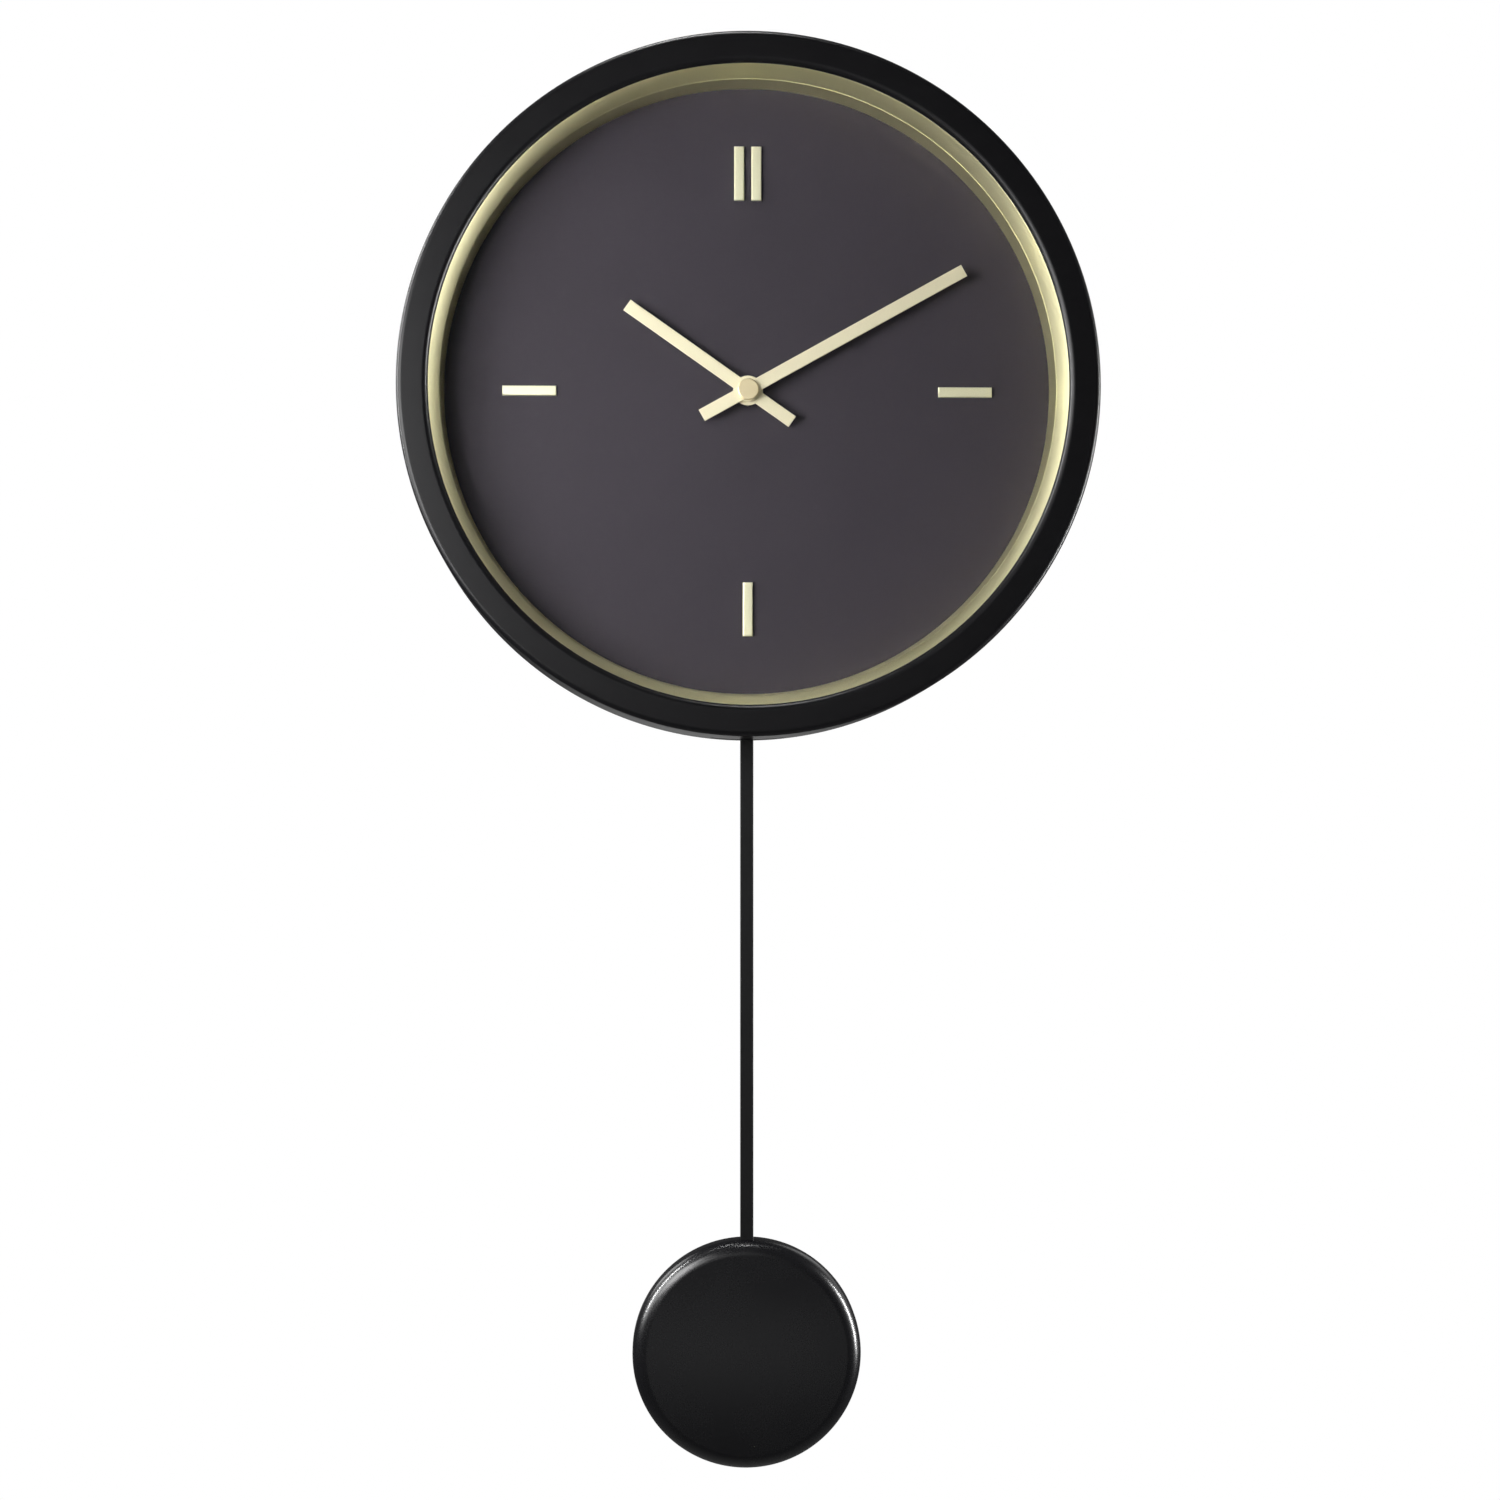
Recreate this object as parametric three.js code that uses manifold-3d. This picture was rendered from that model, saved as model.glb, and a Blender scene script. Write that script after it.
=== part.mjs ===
// Round pendulum wall clock, built the way the real one comes apart on a bench.
// Millimetres, +Z up, the front of the clock faces -Y and the wall is the plane Y = 0.
// The origin is where the hanging screw carries the clock: the top of the keyhole, on the wall plane.
import * as THREE from "three";
import { mergeVertices } from "three/addons/utils/BufferGeometryUtils.js";
import Module from "manifold-3d";

const wasm = await Module();
wasm.setup();

// Driving dimensions. A depth is measured back from the front plane of the case, towards the wall.
const DEPTH = 48;
const HANG_HEIGHT = 95; // from the dial axis up to the hanging point
const CASE_R = 130;
const CASE_DRAFT = 1.4; // the case is this much larger in radius at the back
const CASE_BACK = 46.8;
const CASE_WALL = 2.4;
const SIGHT_R = 118.3; // clear radius inside the front lip
const LENS_R = 122;
const DIAL_R = 119.4;
const DIAL_FRONT = 25;
const DIAL_THICK = 1.5;
const MOVEMENT_FRONT = 28.4;
const MOVEMENT_BACK = 44;
const SHELL_SPLIT = 36;
const SHELL_WALL = 1.6;
const MOVEMENT_HALF_WIDTH = 29;
const MOVEMENT_TOP = 30;
const MOVEMENT_BOTTOM = -70;
const COVER_FRONT = 44.6;
const COVER_BACK = 46.4;
const PIVOT_Z = -40; // pendulum pivot below the dial axis
const ROD_WIDTH = 5;
const ROD_FRONT = 35;
const ROD_THICK = 1.6;
const ROD_EYE_Z = -72;
const BOB_Z = -364.6;
const BOB_R = 43.5;
const BOB_FRONT = 29;
const BOB_BACK = 41.6;
const BATTERY_Z = -22.5;
const BATTERY_R = 7.1;
const BATTERY_DEPTH = 37.3; // depth of the cell's own axis
const MINUTES_PAST_TEN = 10.15;

// Resolution of round work.
const LARGE_ROUND = 60;
const BOB_ROUND = 40;
const SMALL_ROUND = 16;
const TINY_ROUND = 8;

const GAP = 0.2; // between pieces that rest on each other
const TURN = 2 * Math.PI;
const radians = THREE.MathUtils.degToRad;
const y = (depth) => depth - DEPTH;
const polar = (radius, degrees) => [
  radius * Math.cos(radians(degrees)),
  radius * Math.sin(radians(degrees)),
];

// ---------------------------------------------------------------- solids

function solid(geometry) {
  const bare = geometry.clone();
  bare.deleteAttribute("normal");
  bare.deleteAttribute("uv");
  const merged = mergeVertices(bare, 1e-4);
  return new wasm.Manifold(
    new wasm.Mesh({
      numProp: 3,
      vertProperties: merged.attributes.position.array,
      triVerts: new Uint32Array(merged.index.array),
    }),
  );
}

function geometryOf(body) {
  const mesh = body.getMesh();
  const geometry = new THREE.BufferGeometry();
  geometry.setAttribute("position", new THREE.BufferAttribute(mesh.vertProperties, 3));
  geometry.setIndex(new THREE.BufferAttribute(mesh.triVerts, 1));
  geometry.computeVertexNormals();
  return geometry;
}

function join(...bodies) {
  return bodies.reduce((whole, body) => whole.add(body));
}

function cut(body, ...tools) {
  return tools.reduce((rest, tool) => rest.subtract(tool), body);
}

// A piece turned about the line (x, z) that runs front to back. Profile points are [radius, depth].
function turned(profile, segments, x = 0, z = 0) {
  const points = profile.map(([radius, depth]) => new THREE.Vector2(radius, y(depth)));
  const ordered = THREE.ShapeUtils.isClockWise(points) ? points.reverse() : points;
  const meetsAxis = ordered.some((point) => point.x === 0);
  while (meetsAxis && !(ordered[0].x === 0 && ordered.at(-1).x === 0)) {
    ordered.push(ordered.shift());
  }
  if (!meetsAxis) {
    ordered.push(ordered[0]);
  }
  return solid(new THREE.LatheGeometry(ordered, segments).translate(x, 0, z));
}

function disc(radius, front, back, segments, x = 0, z = 0) {
  return turned([[0, front], [radius, front], [radius, back], [0, back]], segments, x, z);
}

function ring(inner, outer, front, back, segments, x = 0, z = 0) {
  return turned([[inner, front], [outer, front], [outer, back], [inner, back]], segments, x, z);
}

// A flat outline in the X-Z plane, given thickness from the depth front to the depth back.
function plate(shape, front, back) {
  const settings = { depth: back - front, bevelEnabled: false, curveSegments: 4 };
  const geometry = new THREE.ExtrudeGeometry(shape, settings);
  return solid(geometry.rotateX(Math.PI / 2).translate(0, y(back), 0));
}

function box(left, right, bottom, top, front, back) {
  const geometry = new THREE.BoxGeometry(right - left, back - front, top - bottom);
  return solid(geometry.translate((left + right) / 2, y((front + back) / 2), (bottom + top) / 2));
}

function roundedRectangle(left, right, bottom, top, corner) {
  const shape = new THREE.Shape();
  shape.absarc(right - corner, top - corner, corner, 0, TURN / 4);
  shape.absarc(left + corner, top - corner, corner, TURN / 4, TURN / 2);
  shape.absarc(left + corner, bottom + corner, corner, TURN / 2, 0.75 * TURN);
  shape.absarc(right - corner, bottom + corner, corner, 0.75 * TURN, TURN);
  return shape;
}

function arcPoints(centre, radius, from, to, steps) {
  return Array.from({ length: steps + 1 }, (_, i) => {
    const [across, along] = polar(radius, from + ((to - from) * i) / steps);
    return [centre[0] + across, centre[1] + along];
  });
}

// ---------------------------------------------------------------- finishes

function finish(color, roughness, metalness, extra = {}) {
  return new THREE.MeshStandardMaterial({
    color,
    roughness,
    metalness,
    flatShading: true,
    ...extra,
  });
}

const satinBlack = () => finish(0x1c1c1e, 0.42, 0);
const bobBlack = () => finish(0x17171a, 0.35, 0.1);
const gold = () => finish(0xd8cfa0, 0.35, 1);
const handGold = () => finish(0xe2d3a5, 0.4, 1);
const dialGrey = () => finish(0x49454b, 0.55, 0.2);
const clearGlass = () => finish(0xffffff, 0.03, 0, { transparent: true, opacity: 0.15 });
const movementPlastic = () => finish(0x222224, 0.6, 0);
const whitePlastic = () => finish(0xe6e4dd, 0.5, 0);
const steel = () => finish(0xb4b6b8, 0.35, 1);
const brass = () => finish(0xc2a04f, 0.35, 1);
const copper = () => finish(0xb4622d, 0.4, 1);
const rubber = () => finish(0x1e1e1e, 0.85, 0);
const board = () => finish(0x1f5a35, 0.5, 0);
const cellJacket = () => finish(0x2f3c4c, 0.35, 0.2);

function piece(name, material, body) {
  const mesh = new THREE.Mesh(geometryOf(body), material);
  mesh.name = name;
  return mesh;
}

// ---------------------------------------------------------------- screws

// A pan-head self-tapping screw driven forwards from the back, head resting at the depth seat.
function screw(name, x, z, seat, length, headR, shankR) {
  const headTop = seat + headR * 0.55;
  const tip = seat - length;
  const profile = [
    [0, headTop],
    [headR * 0.6, headTop],
    [headR, seat + headR * 0.2],
    [headR, seat],
    [shankR, seat],
    [shankR, tip + shankR],
    [0, tip],
  ];
  return piece(name, steel(), turned(profile, TINY_ROUND, x, z));
}

// ---------------------------------------------------------------- case

const RING_SCREW = { radius: 124.2, pilot: 1.2, shank: 1.1, head: 2 };
const RING_SCREW_ANGLES = [90, 210, 330];
const COVER_SCREW = { radius: 124.3, pilot: 1.5, shank: 1.4, head: 2.8 };
const COVER_SCREW_ANGLES = [45, 135, 225, 315];
const LIP_BACK = 2.4;
const FLANGE_FRONT = 4.9;
const FLANGE_BACK = 6.1;
const SWING_SLOT = { halfWidth: 14, front: 33, back: 38.5 };

function caseProfile() {
  const edge = 2; // rounding of the outer front edge
  const lip = 2.3; // rounding of the lip round the lens
  const outerEdge = arcPoints([CASE_R - edge, edge], edge, 0, -90, 4);
  const innerLip = arcPoints([SIGHT_R + lip, lip], lip, -90, -180, 4);
  const inside = CASE_R - CASE_WALL;
  return [
    [CASE_R + CASE_DRAFT, CASE_BACK],
    ...outerEdge,
    ...innerLip,
    [SIGHT_R, LIP_BACK],
    [inside, LIP_BACK],
    [inside + CASE_DRAFT, CASE_BACK],
  ];
}

// One moulding: front ring, side wall, pillars for the back cover and low bosses for the reveal ring.
function bezelCase() {
  let body = turned(caseProfile(), LARGE_ROUND);
  for (const angle of RING_SCREW_ANGLES) {
    const [x, z] = polar(RING_SCREW.radius, angle);
    body = join(body, disc(2.2, LIP_BACK - 0.5, FLANGE_FRONT - GAP, TINY_ROUND, x, z));
    body = cut(body, disc(RING_SCREW.pilot, 1.4, DEPTH, TINY_ROUND, x, z));
  }
  for (const angle of COVER_SCREW_ANGLES) {
    const [x, z] = polar(COVER_SCREW.radius, angle);
    body = join(body, disc(5.4, 28, COVER_FRONT - GAP, TINY_ROUND, x, z));
    body = cut(body, disc(COVER_SCREW.pilot, 34, DEPTH, TINY_ROUND, x, z));
  }
  const { halfWidth, front, back } = SWING_SLOT;
  const slot = box(-halfWidth, halfWidth, -CASE_R - 5, -CASE_R + 6, front, back);
  return piece("bezel_case", satinBlack(), cut(body, slot));
}

function glassLens() {
  return piece("glass_lens", clearGlass(), disc(LENS_R, 2.6, 4.6, LARGE_ROUND));
}

// ---------------------------------------------------------------- reveal ring and dial

const CONE_TOP_R = 118.6;
const CONE_FOOT = [115, 12.7]; // where the cone meets the fine groove
const WALL_FOOT_R = 114;

// Gilt ring that hides the gap between lens and dial: a cone, a fine groove, a steep wall and a foot.
function revealRing() {
  const [coneR, coneDepth] = CONE_FOOT;
  const foot = DIAL_FRONT - GAP;
  const profile = [
    [CONE_TOP_R, FLANGE_FRONT],
    [coneR, coneDepth],
    [coneR + 0.8, coneDepth + 0.05],
    [coneR + 0.8, coneDepth + 0.75],
    [coneR, coneDepth + 0.8],
    [WALL_FOOT_R, foot],
    [DIAL_R - GAP, foot],
    [DIAL_R - GAP, foot - 1.4],
    [WALL_FOOT_R + 1.4, foot - 1.4],
    [coneR + 2, coneDepth + 1.4],
    [coneR + 2, coneDepth - 0.5],
    [CONE_TOP_R + 0.8, FLANGE_BACK],
    [CASE_R - CASE_WALL - 1.2, FLANGE_BACK],
    [CASE_R - CASE_WALL - 1.2, FLANGE_FRONT],
  ];
  let body = turned(profile, LARGE_ROUND);
  for (const angle of RING_SCREW_ANGLES) {
    const [x, z] = polar(RING_SCREW.radius, angle);
    body = cut(body, disc(RING_SCREW.pilot + 0.2, 0, 10, TINY_ROUND, x, z));
  }
  return piece("reveal_ring", gold(), body);
}

const BUSHING_R = 3.6;

function dialPlate() {
  const centreHole = disc(BUSHING_R + 0.3, 0, DEPTH, SMALL_ROUND);
  const body = disc(DIAL_R, DIAL_FRONT, DIAL_FRONT + DIAL_THICK, LARGE_ROUND);
  return piece("dial_plate", dialGrey(), cut(body, centreHole));
}

// Applied hour batons: one each at 3, 6 and 9, and a pair at 12.
const MARKER = { inner: 71.9, outer: 92.2, width: 3.8, thick: 1.25, pairSpacing: 6.5 };

function marker(name, clockwiseDegrees, sideways) {
  const front = DIAL_FRONT - MARKER.thick;
  const back = DIAL_FRONT - 0.05;
  const half = MARKER.width / 2;
  const body = box(sideways - half, sideways + half, MARKER.inner, MARKER.outer, front, back);
  const mesh = piece(name, gold(), body);
  mesh.rotation.y = radians(clockwiseDegrees);
  return mesh;
}

function markers() {
  const aside = MARKER.pairSpacing / 2;
  return [
    marker("marker_12_left", 0, -aside),
    marker("marker_12_right", 0, aside),
    marker("marker_3", 90, 0),
    marker("marker_6", 180, 0),
    marker("marker_9", 270, 0),
  ];
}

// ---------------------------------------------------------------- back cover and hanging parts

const KEYHOLE = { slotHalf: 2.5, entryR: 5, entryDrop: 12 };
const POCKET = { halfWidth: 9, bottom: -20, top: 7, front: 37.4, wall: 1.4 };
const HANGER_SCREW = { x: 12.4, z: -7, pilot: 1.2, shank: 1.1, head: 2.1 };
const PLATE_FRONT = COVER_BACK + 0.1;

// Disc that closes the back, with a window for the movement and a pocket behind the keyhole.
function backCover() {
  const lift = HANG_HEIGHT;
  const { halfWidth, bottom, top, front, wall } = POCKET;
  const window = roundedRectangle(
    -MOVEMENT_HALF_WIDTH - 1.5,
    MOVEMENT_HALF_WIDTH + 1.5,
    MOVEMENT_BOTTOM - 1.5,
    MOVEMENT_TOP + 1.5,
    5,
  );
  const cup = box(
    -halfWidth - wall,
    halfWidth + wall,
    lift + bottom - wall,
    lift + top + wall,
    front - wall,
    COVER_BACK,
  );
  const hollow = box(-halfWidth, halfWidth, lift + bottom, lift + top, front, DEPTH);
  let body = disc(CASE_R - CASE_WALL + 1, COVER_FRONT, COVER_BACK, LARGE_ROUND);
  body = join(body, cup);
  for (const side of [-1, 1]) {
    const x = side * HANGER_SCREW.x;
    body = join(body, disc(2.8, 40, COVER_BACK, TINY_ROUND, x, lift + HANGER_SCREW.z));
    body = cut(body, disc(HANGER_SCREW.pilot, 41, DEPTH, TINY_ROUND, x, lift + HANGER_SCREW.z));
  }
  for (const angle of COVER_SCREW_ANGLES) {
    const [x, z] = polar(COVER_SCREW.radius, angle);
    body = cut(body, disc(COVER_SCREW.pilot + 0.2, 0, DEPTH, TINY_ROUND, x, z));
  }
  return piece("back_cover", movementPlastic(), cut(body, hollow, plate(window, 40, DEPTH)));
}

// Steel keyhole plate. The hanging screw's head goes in at the round hole and rides up the slot.
function hangerPlate() {
  const { slotHalf, entryR, entryDrop } = KEYHOLE;
  const lift = HANG_HEIGHT;
  const outline = roundedRectangle(-15.5, 15.5, lift - 24, lift + 11, 3);
  const entry = disc(entryR, 0, DEPTH + 1, SMALL_ROUND, 0, lift - entryDrop);
  const slotEnd = disc(slotHalf, 0, DEPTH + 1, SMALL_ROUND, 0, lift);
  const slot = box(-slotHalf, slotHalf, lift - entryDrop, lift, 0, DEPTH + 1);
  const screwHoles = [-1, 1].map((side) =>
    disc(1.4, 0, DEPTH + 1, TINY_ROUND, side * HANGER_SCREW.x, lift + HANGER_SCREW.z),
  );
  const seats = [-1, 1].map((side) =>
    disc(2.5, PLATE_FRONT + 0.5, DEPTH + 1, TINY_ROUND, side * HANGER_SCREW.x, lift + HANGER_SCREW.z),
  );
  const body = plate(outline, PLATE_FRONT, DEPTH);
  return piece("hanger_plate", steel(), cut(body, entry, slotEnd, slot, ...screwHoles, ...seats));
}

// Countersunk into the plate, so that nothing stands past the wall plane.
function hangerScrew(name, side) {
  const { x, z, head, shank } = HANGER_SCREW;
  const seat = PLATE_FRONT + 0.6;
  const profile = [
    [0, DEPTH - 0.15],
    [head, DEPTH - 0.15],
    [head, seat],
    [shank, seat],
    [shank, 42.5],
    [0, 41.5],
  ];
  return piece(name, steel(), turned(profile, TINY_ROUND, side * x, HANG_HEIGHT + z));
}

function wallPad(name, side) {
  const pad = disc(6, COVER_BACK + 0.1, DEPTH, SMALL_ROUND, side * 70, -80);
  return piece(name, rubber(), pad);
}

// ---------------------------------------------------------------- wheels of the movement

const MOTION_MODULE = 0.6;
const TRAIN_MODULE = 0.4;
const ADDENDUM = 0.75; // tooth height past the pitch circle, in modules
const DEDENDUM = 1.15;
const TIP_SHARE = 0.2; // half width of a tooth at its tip, as a share of half a pitch
const ROOT_SHARE = 0.5;

const TEETH = {
  cannon: 10,
  motionWheel: 30,
  motionPinion: 8,
  hourWheel: 32,
  centreWheel: 48,
  thirdPinion: 6,
  thirdWheel: 45,
  secondsPinion: 6,
  secondsWheel: 36,
  intermediatePinion: 6,
  intermediateWheel: 30,
  rotorPinion: 6,
};

// Depths of the layers that the wheels turn in, front to back.
const LAYER = {
  hour: [30.4, 31.8],
  cannon: [32.2, 33.8],
  centre: [34.6, 35.6],
  third: [36.4, 37.4],
  seconds: [38.2, 39.2],
  intermediate: [40, 41],
};

const pitchR = (teeth, module) => (teeth * module) / 2;

function stepAway(from, distance, degrees) {
  const [x, z] = polar(distance, degrees);
  return [from[0] + x, from[1] + z];
}

// Bearings, in degrees, from each arbor to the next one that it drives or is driven by.
const BEARING = { motion: 150, third: 40, seconds: 100, intermediate: 195, rotor: 150 };
const distance = (a, b, module) => pitchR(a, module) + pitchR(b, module);
const CENTRE = [0, 0];
const MOTION = stepAway(
  CENTRE,
  distance(TEETH.cannon, TEETH.motionWheel, MOTION_MODULE),
  BEARING.motion,
);
const THIRD = stepAway(
  CENTRE,
  distance(TEETH.centreWheel, TEETH.thirdPinion, TRAIN_MODULE),
  BEARING.third,
);
const SECONDS = stepAway(
  THIRD,
  distance(TEETH.thirdWheel, TEETH.secondsPinion, TRAIN_MODULE),
  BEARING.seconds,
);
const INTERMEDIATE = stepAway(
  SECONDS,
  distance(TEETH.secondsWheel, TEETH.intermediatePinion, TRAIN_MODULE),
  BEARING.intermediate,
);
const ROTOR = stepAway(
  INTERMEDIATE,
  distance(TEETH.intermediateWheel, TEETH.rotorPinion, TRAIN_MODULE),
  BEARING.rotor,
);

// The phase that puts a gap of the driven wheel opposite a tooth of the driving one.
function meshedPhase(phase, teeth, drivenTeeth, bearing) {
  const pitch = TURN / teeth;
  const drivenPitch = TURN / drivenTeeth;
  const share = (radians(bearing) - phase) / pitch;
  return radians(bearing) + Math.PI - drivenPitch * (0.5 - share);
}

function gear(teeth, module, phase, [front, back], [x, z]) {
  const radius = pitchR(teeth, module);
  const tip = radius + ADDENDUM * module;
  const root = radius - DEDENDUM * module;
  const half = Math.PI / teeth;
  const shape = new THREE.Shape();
  const outline = [];
  for (let i = 0; i < teeth; i += 1) {
    const middle = phase + (TURN * i) / teeth;
    for (const [r, share] of [
      [root, -ROOT_SHARE],
      [tip, -TIP_SHARE],
      [tip, TIP_SHARE],
      [root, ROOT_SHARE],
    ]) {
      const angle = middle + share * half;
      outline.push(new THREE.Vector2(x + r * Math.cos(angle), z + r * Math.sin(angle)));
    }
  }
  shape.setFromPoints(outline);
  return plate(shape, front, back);
}

const PIVOT_R = 0.5;
const PIVOT_FRONT = 29;
const PIVOT_BACK = 43.2;

function arbor([x, z], front = PIVOT_FRONT, back = PIVOT_BACK, radius = PIVOT_R) {
  return disc(radius, front, back, TINY_ROUND, x, z);
}

const ARBOR_R = 1.5;
const HOUR_PIPE = { inner: 1.9, outer: 2.6, front: 20.9 };
const ARBOR_FRONT = 18.9;
const CANNON_PHASE = 0;
const MOTION_PHASE = meshedPhase(CANNON_PHASE, TEETH.cannon, TEETH.motionWheel, BEARING.motion);
const HOUR_PHASE = meshedPhase(
  MOTION_PHASE,
  TEETH.motionPinion,
  TEETH.hourWheel,
  BEARING.motion + 180,
);

function minuteArbor() {
  const body = join(
    disc(ARBOR_R, ARBOR_FRONT, 34.4, TINY_ROUND),
    gear(TEETH.cannon, MOTION_MODULE, CANNON_PHASE, LAYER.cannon, CENTRE),
    disc(1, 34.3, 42, TINY_ROUND),
    arbor(CENTRE, 41.9),
  );
  return piece("minute_arbor", steel(), body);
}

function centreWheel() {
  const rim = gear(TEETH.centreWheel, TRAIN_MODULE, 0, LAYER.centre, CENTRE);
  return piece("centre_wheel", brass(), cut(rim, disc(1.15, 30, 40, TINY_ROUND)));
}

function hourWheel() {
  const { inner, outer, front } = HOUR_PIPE;
  const rim = gear(TEETH.hourWheel, MOTION_MODULE, HOUR_PHASE, LAYER.hour, CENTRE);
  const pipe = disc(outer, front, LAYER.hour[1], SMALL_ROUND);
  const bore = disc(inner, 0, DEPTH, SMALL_ROUND);
  return piece("hour_wheel", whitePlastic(), cut(join(rim, pipe), bore));
}

function motionWheel() {
  const body = join(
    gear(TEETH.motionWheel, MOTION_MODULE, MOTION_PHASE, LAYER.cannon, MOTION),
    gear(TEETH.motionPinion, MOTION_MODULE, MOTION_PHASE, [LAYER.hour[0], LAYER.cannon[0]], MOTION),
    arbor(MOTION, PIVOT_FRONT, 33),
    arbor(MOTION, 33, 45.4, 1),
  );
  return piece("motion_wheel", whitePlastic(), body);
}

function settingKnob() {
  const [x, z] = MOTION;
  const grips = 12;
  const shape = new THREE.Shape();
  const outline = [];
  for (let i = 0; i < 2 * grips; i += 1) {
    const [dx, dz] = polar(i % 2 ? 7 : 6.5, (360 * i) / (2 * grips));
    outline.push(new THREE.Vector2(x + dx, z + dz));
  }
  shape.setFromPoints(outline);
  const body = cut(plate(shape, 44.2, 46.8), disc(1.15, 40, 45.6, TINY_ROUND, x, z));
  return piece("setting_knob", whitePlastic(), body);
}

// A wheel riveted to a pinion of the same train, in the next layer forward.
function trainWheel(name, place, wheelTeeth, wheelLayer, pinionTeeth, pinionLayer, pinionPhase) {
  const body = join(
    gear(wheelTeeth, TRAIN_MODULE, pinionPhase, wheelLayer, place),
    gear(pinionTeeth, TRAIN_MODULE, pinionPhase, [pinionLayer[0], wheelLayer[0]], place),
    arbor(place),
  );
  return piece(name, whitePlastic(), body);
}

const THIRD_PHASE = meshedPhase(0, TEETH.centreWheel, TEETH.thirdPinion, BEARING.third);
const SECONDS_PHASE = meshedPhase(
  THIRD_PHASE,
  TEETH.thirdWheel,
  TEETH.secondsPinion,
  BEARING.seconds,
);
const INTERMEDIATE_PHASE = meshedPhase(
  SECONDS_PHASE,
  TEETH.secondsWheel,
  TEETH.intermediatePinion,
  BEARING.intermediate,
);
const ROTOR_PHASE = meshedPhase(
  INTERMEDIATE_PHASE,
  TEETH.intermediateWheel,
  TEETH.rotorPinion,
  BEARING.rotor,
);

function goingTrain() {
  return {
    third: trainWheel(
      "third_wheel",
      THIRD,
      TEETH.thirdWheel,
      LAYER.third,
      TEETH.thirdPinion,
      LAYER.centre,
      THIRD_PHASE,
    ),
    seconds: trainWheel(
      "seconds_wheel",
      SECONDS,
      TEETH.secondsWheel,
      LAYER.seconds,
      TEETH.secondsPinion,
      LAYER.third,
      SECONDS_PHASE,
    ),
    intermediate: trainWheel(
      "intermediate_wheel",
      INTERMEDIATE,
      TEETH.intermediateWheel,
      LAYER.intermediate,
      TEETH.intermediatePinion,
      LAYER.seconds,
      INTERMEDIATE_PHASE,
    ),
  };
}

// ---------------------------------------------------------------- stepping motor and electronics

const MAGNET = { radius: 2.2, front: 36.6, back: 39.2 };
const STATOR = { front: 37.4, back: 38.4, left: -26, right: -4, legWidth: 4 };

function rotorPinion() {
  const body = join(
    gear(TEETH.rotorPinion, TRAIN_MODULE, ROTOR_PHASE, LAYER.intermediate, ROTOR),
    arbor(ROTOR),
  );
  return piece("rotor_pinion", whitePlastic(), body);
}

function rotorMagnet() {
  const [x, z] = ROTOR;
  const { radius, front, back } = MAGNET;
  return piece("rotor_magnet", steel(), ring(PIVOT_R + 0.1, radius, front, back, SMALL_ROUND, x, z));
}

// Soft-iron stator: a bar round the rotor and two legs that reach up to the coil's core.
function statorCore() {
  const [x, z] = ROTOR;
  const { front, back, left, right, legWidth } = STATOR;
  const body = join(
    box(left, right, z - 3, z + 3, front, back),
    box(left, left + legWidth, z, 27.4, front, back),
    box(right - legWidth, right, z, 27.4, front, back),
  );
  return piece("stator_core", steel(), cut(body, disc(MAGNET.radius + 0.4, 0, DEPTH, SMALL_ROUND, x, z)));
}

function coilCore() {
  const { left, right, back } = STATOR;
  return piece("coil_core", steel(), box(left, right, 23.5, 26.5, back + 0.1, back + 0.9));
}

const BOBBIN = { left: -21.5, right: -8.5, flange: 0.8 };

function coilBobbin() {
  const { left, right, flange } = BOBBIN;
  const body = join(
    box(left, right, 22.8, 27.2, 37.8, 40),
    box(left, left + flange, 21.8, 28.2, 35.7, 42.1),
    box(right - flange, right, 21.8, 28.2, 35.7, 42.1),
  );
  const bore = box(left - 1, right + 1, 23.3, 26.7, 38.3, 39.5);
  const legRoom = [
    box(left - 1, left + 0.1, 20, 30, 37.2, 38.6),
    box(right - 0.1, right + 1, 20, 30, 37.2, 38.6),
  ];
  return piece("coil_bobbin", whitePlastic(), cut(body, bore, ...legRoom));
}

function coilWinding() {
  const { left, right, flange } = BOBBIN;
  const a = left + flange + 0.1;
  const b = right - flange - 0.1;
  const body = cut(box(a, b, 22.1, 27.9, 36, 41.8), box(a - 1, b + 1, 22.7, 27.3, 37.7, 40.1));
  return piece("coil_winding", copper(), body);
}

function circuitBoard() {
  return piece("circuit_board", board(), box(10, 26.5, -11, 7, 40, 41));
}

function quartzCrystal() {
  const can = new THREE.CylinderGeometry(1.5, 1.5, 6, TINY_ROUND);
  can.rotateZ(TURN / 4).translate(22.4, y(38.4), 4.5);
  return piece("quartz_crystal", steel(), solid(can));
}

// ---------------------------------------------------------------- movement housing

const BAY = { bottom: -30.4, top: -14.6, wall: 1.2, halfWidth: 27.2 };
const LEVER_SLOT = { halfWidth: 8, front: 33.8, back: 40.4 };
const PIVOT_PIN_R = 0.9;

const outerOutline = () =>
  roundedRectangle(
    -MOVEMENT_HALF_WIDTH,
    MOVEMENT_HALF_WIDTH,
    MOVEMENT_BOTTOM,
    MOVEMENT_TOP,
    4,
  );
const innerOutline = () =>
  roundedRectangle(
    SHELL_WALL - MOVEMENT_HALF_WIDTH,
    MOVEMENT_HALF_WIDTH - SHELL_WALL,
    MOVEMENT_BOTTOM + SHELL_WALL,
    MOVEMENT_TOP - SHELL_WALL,
    2.4,
  );

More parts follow.
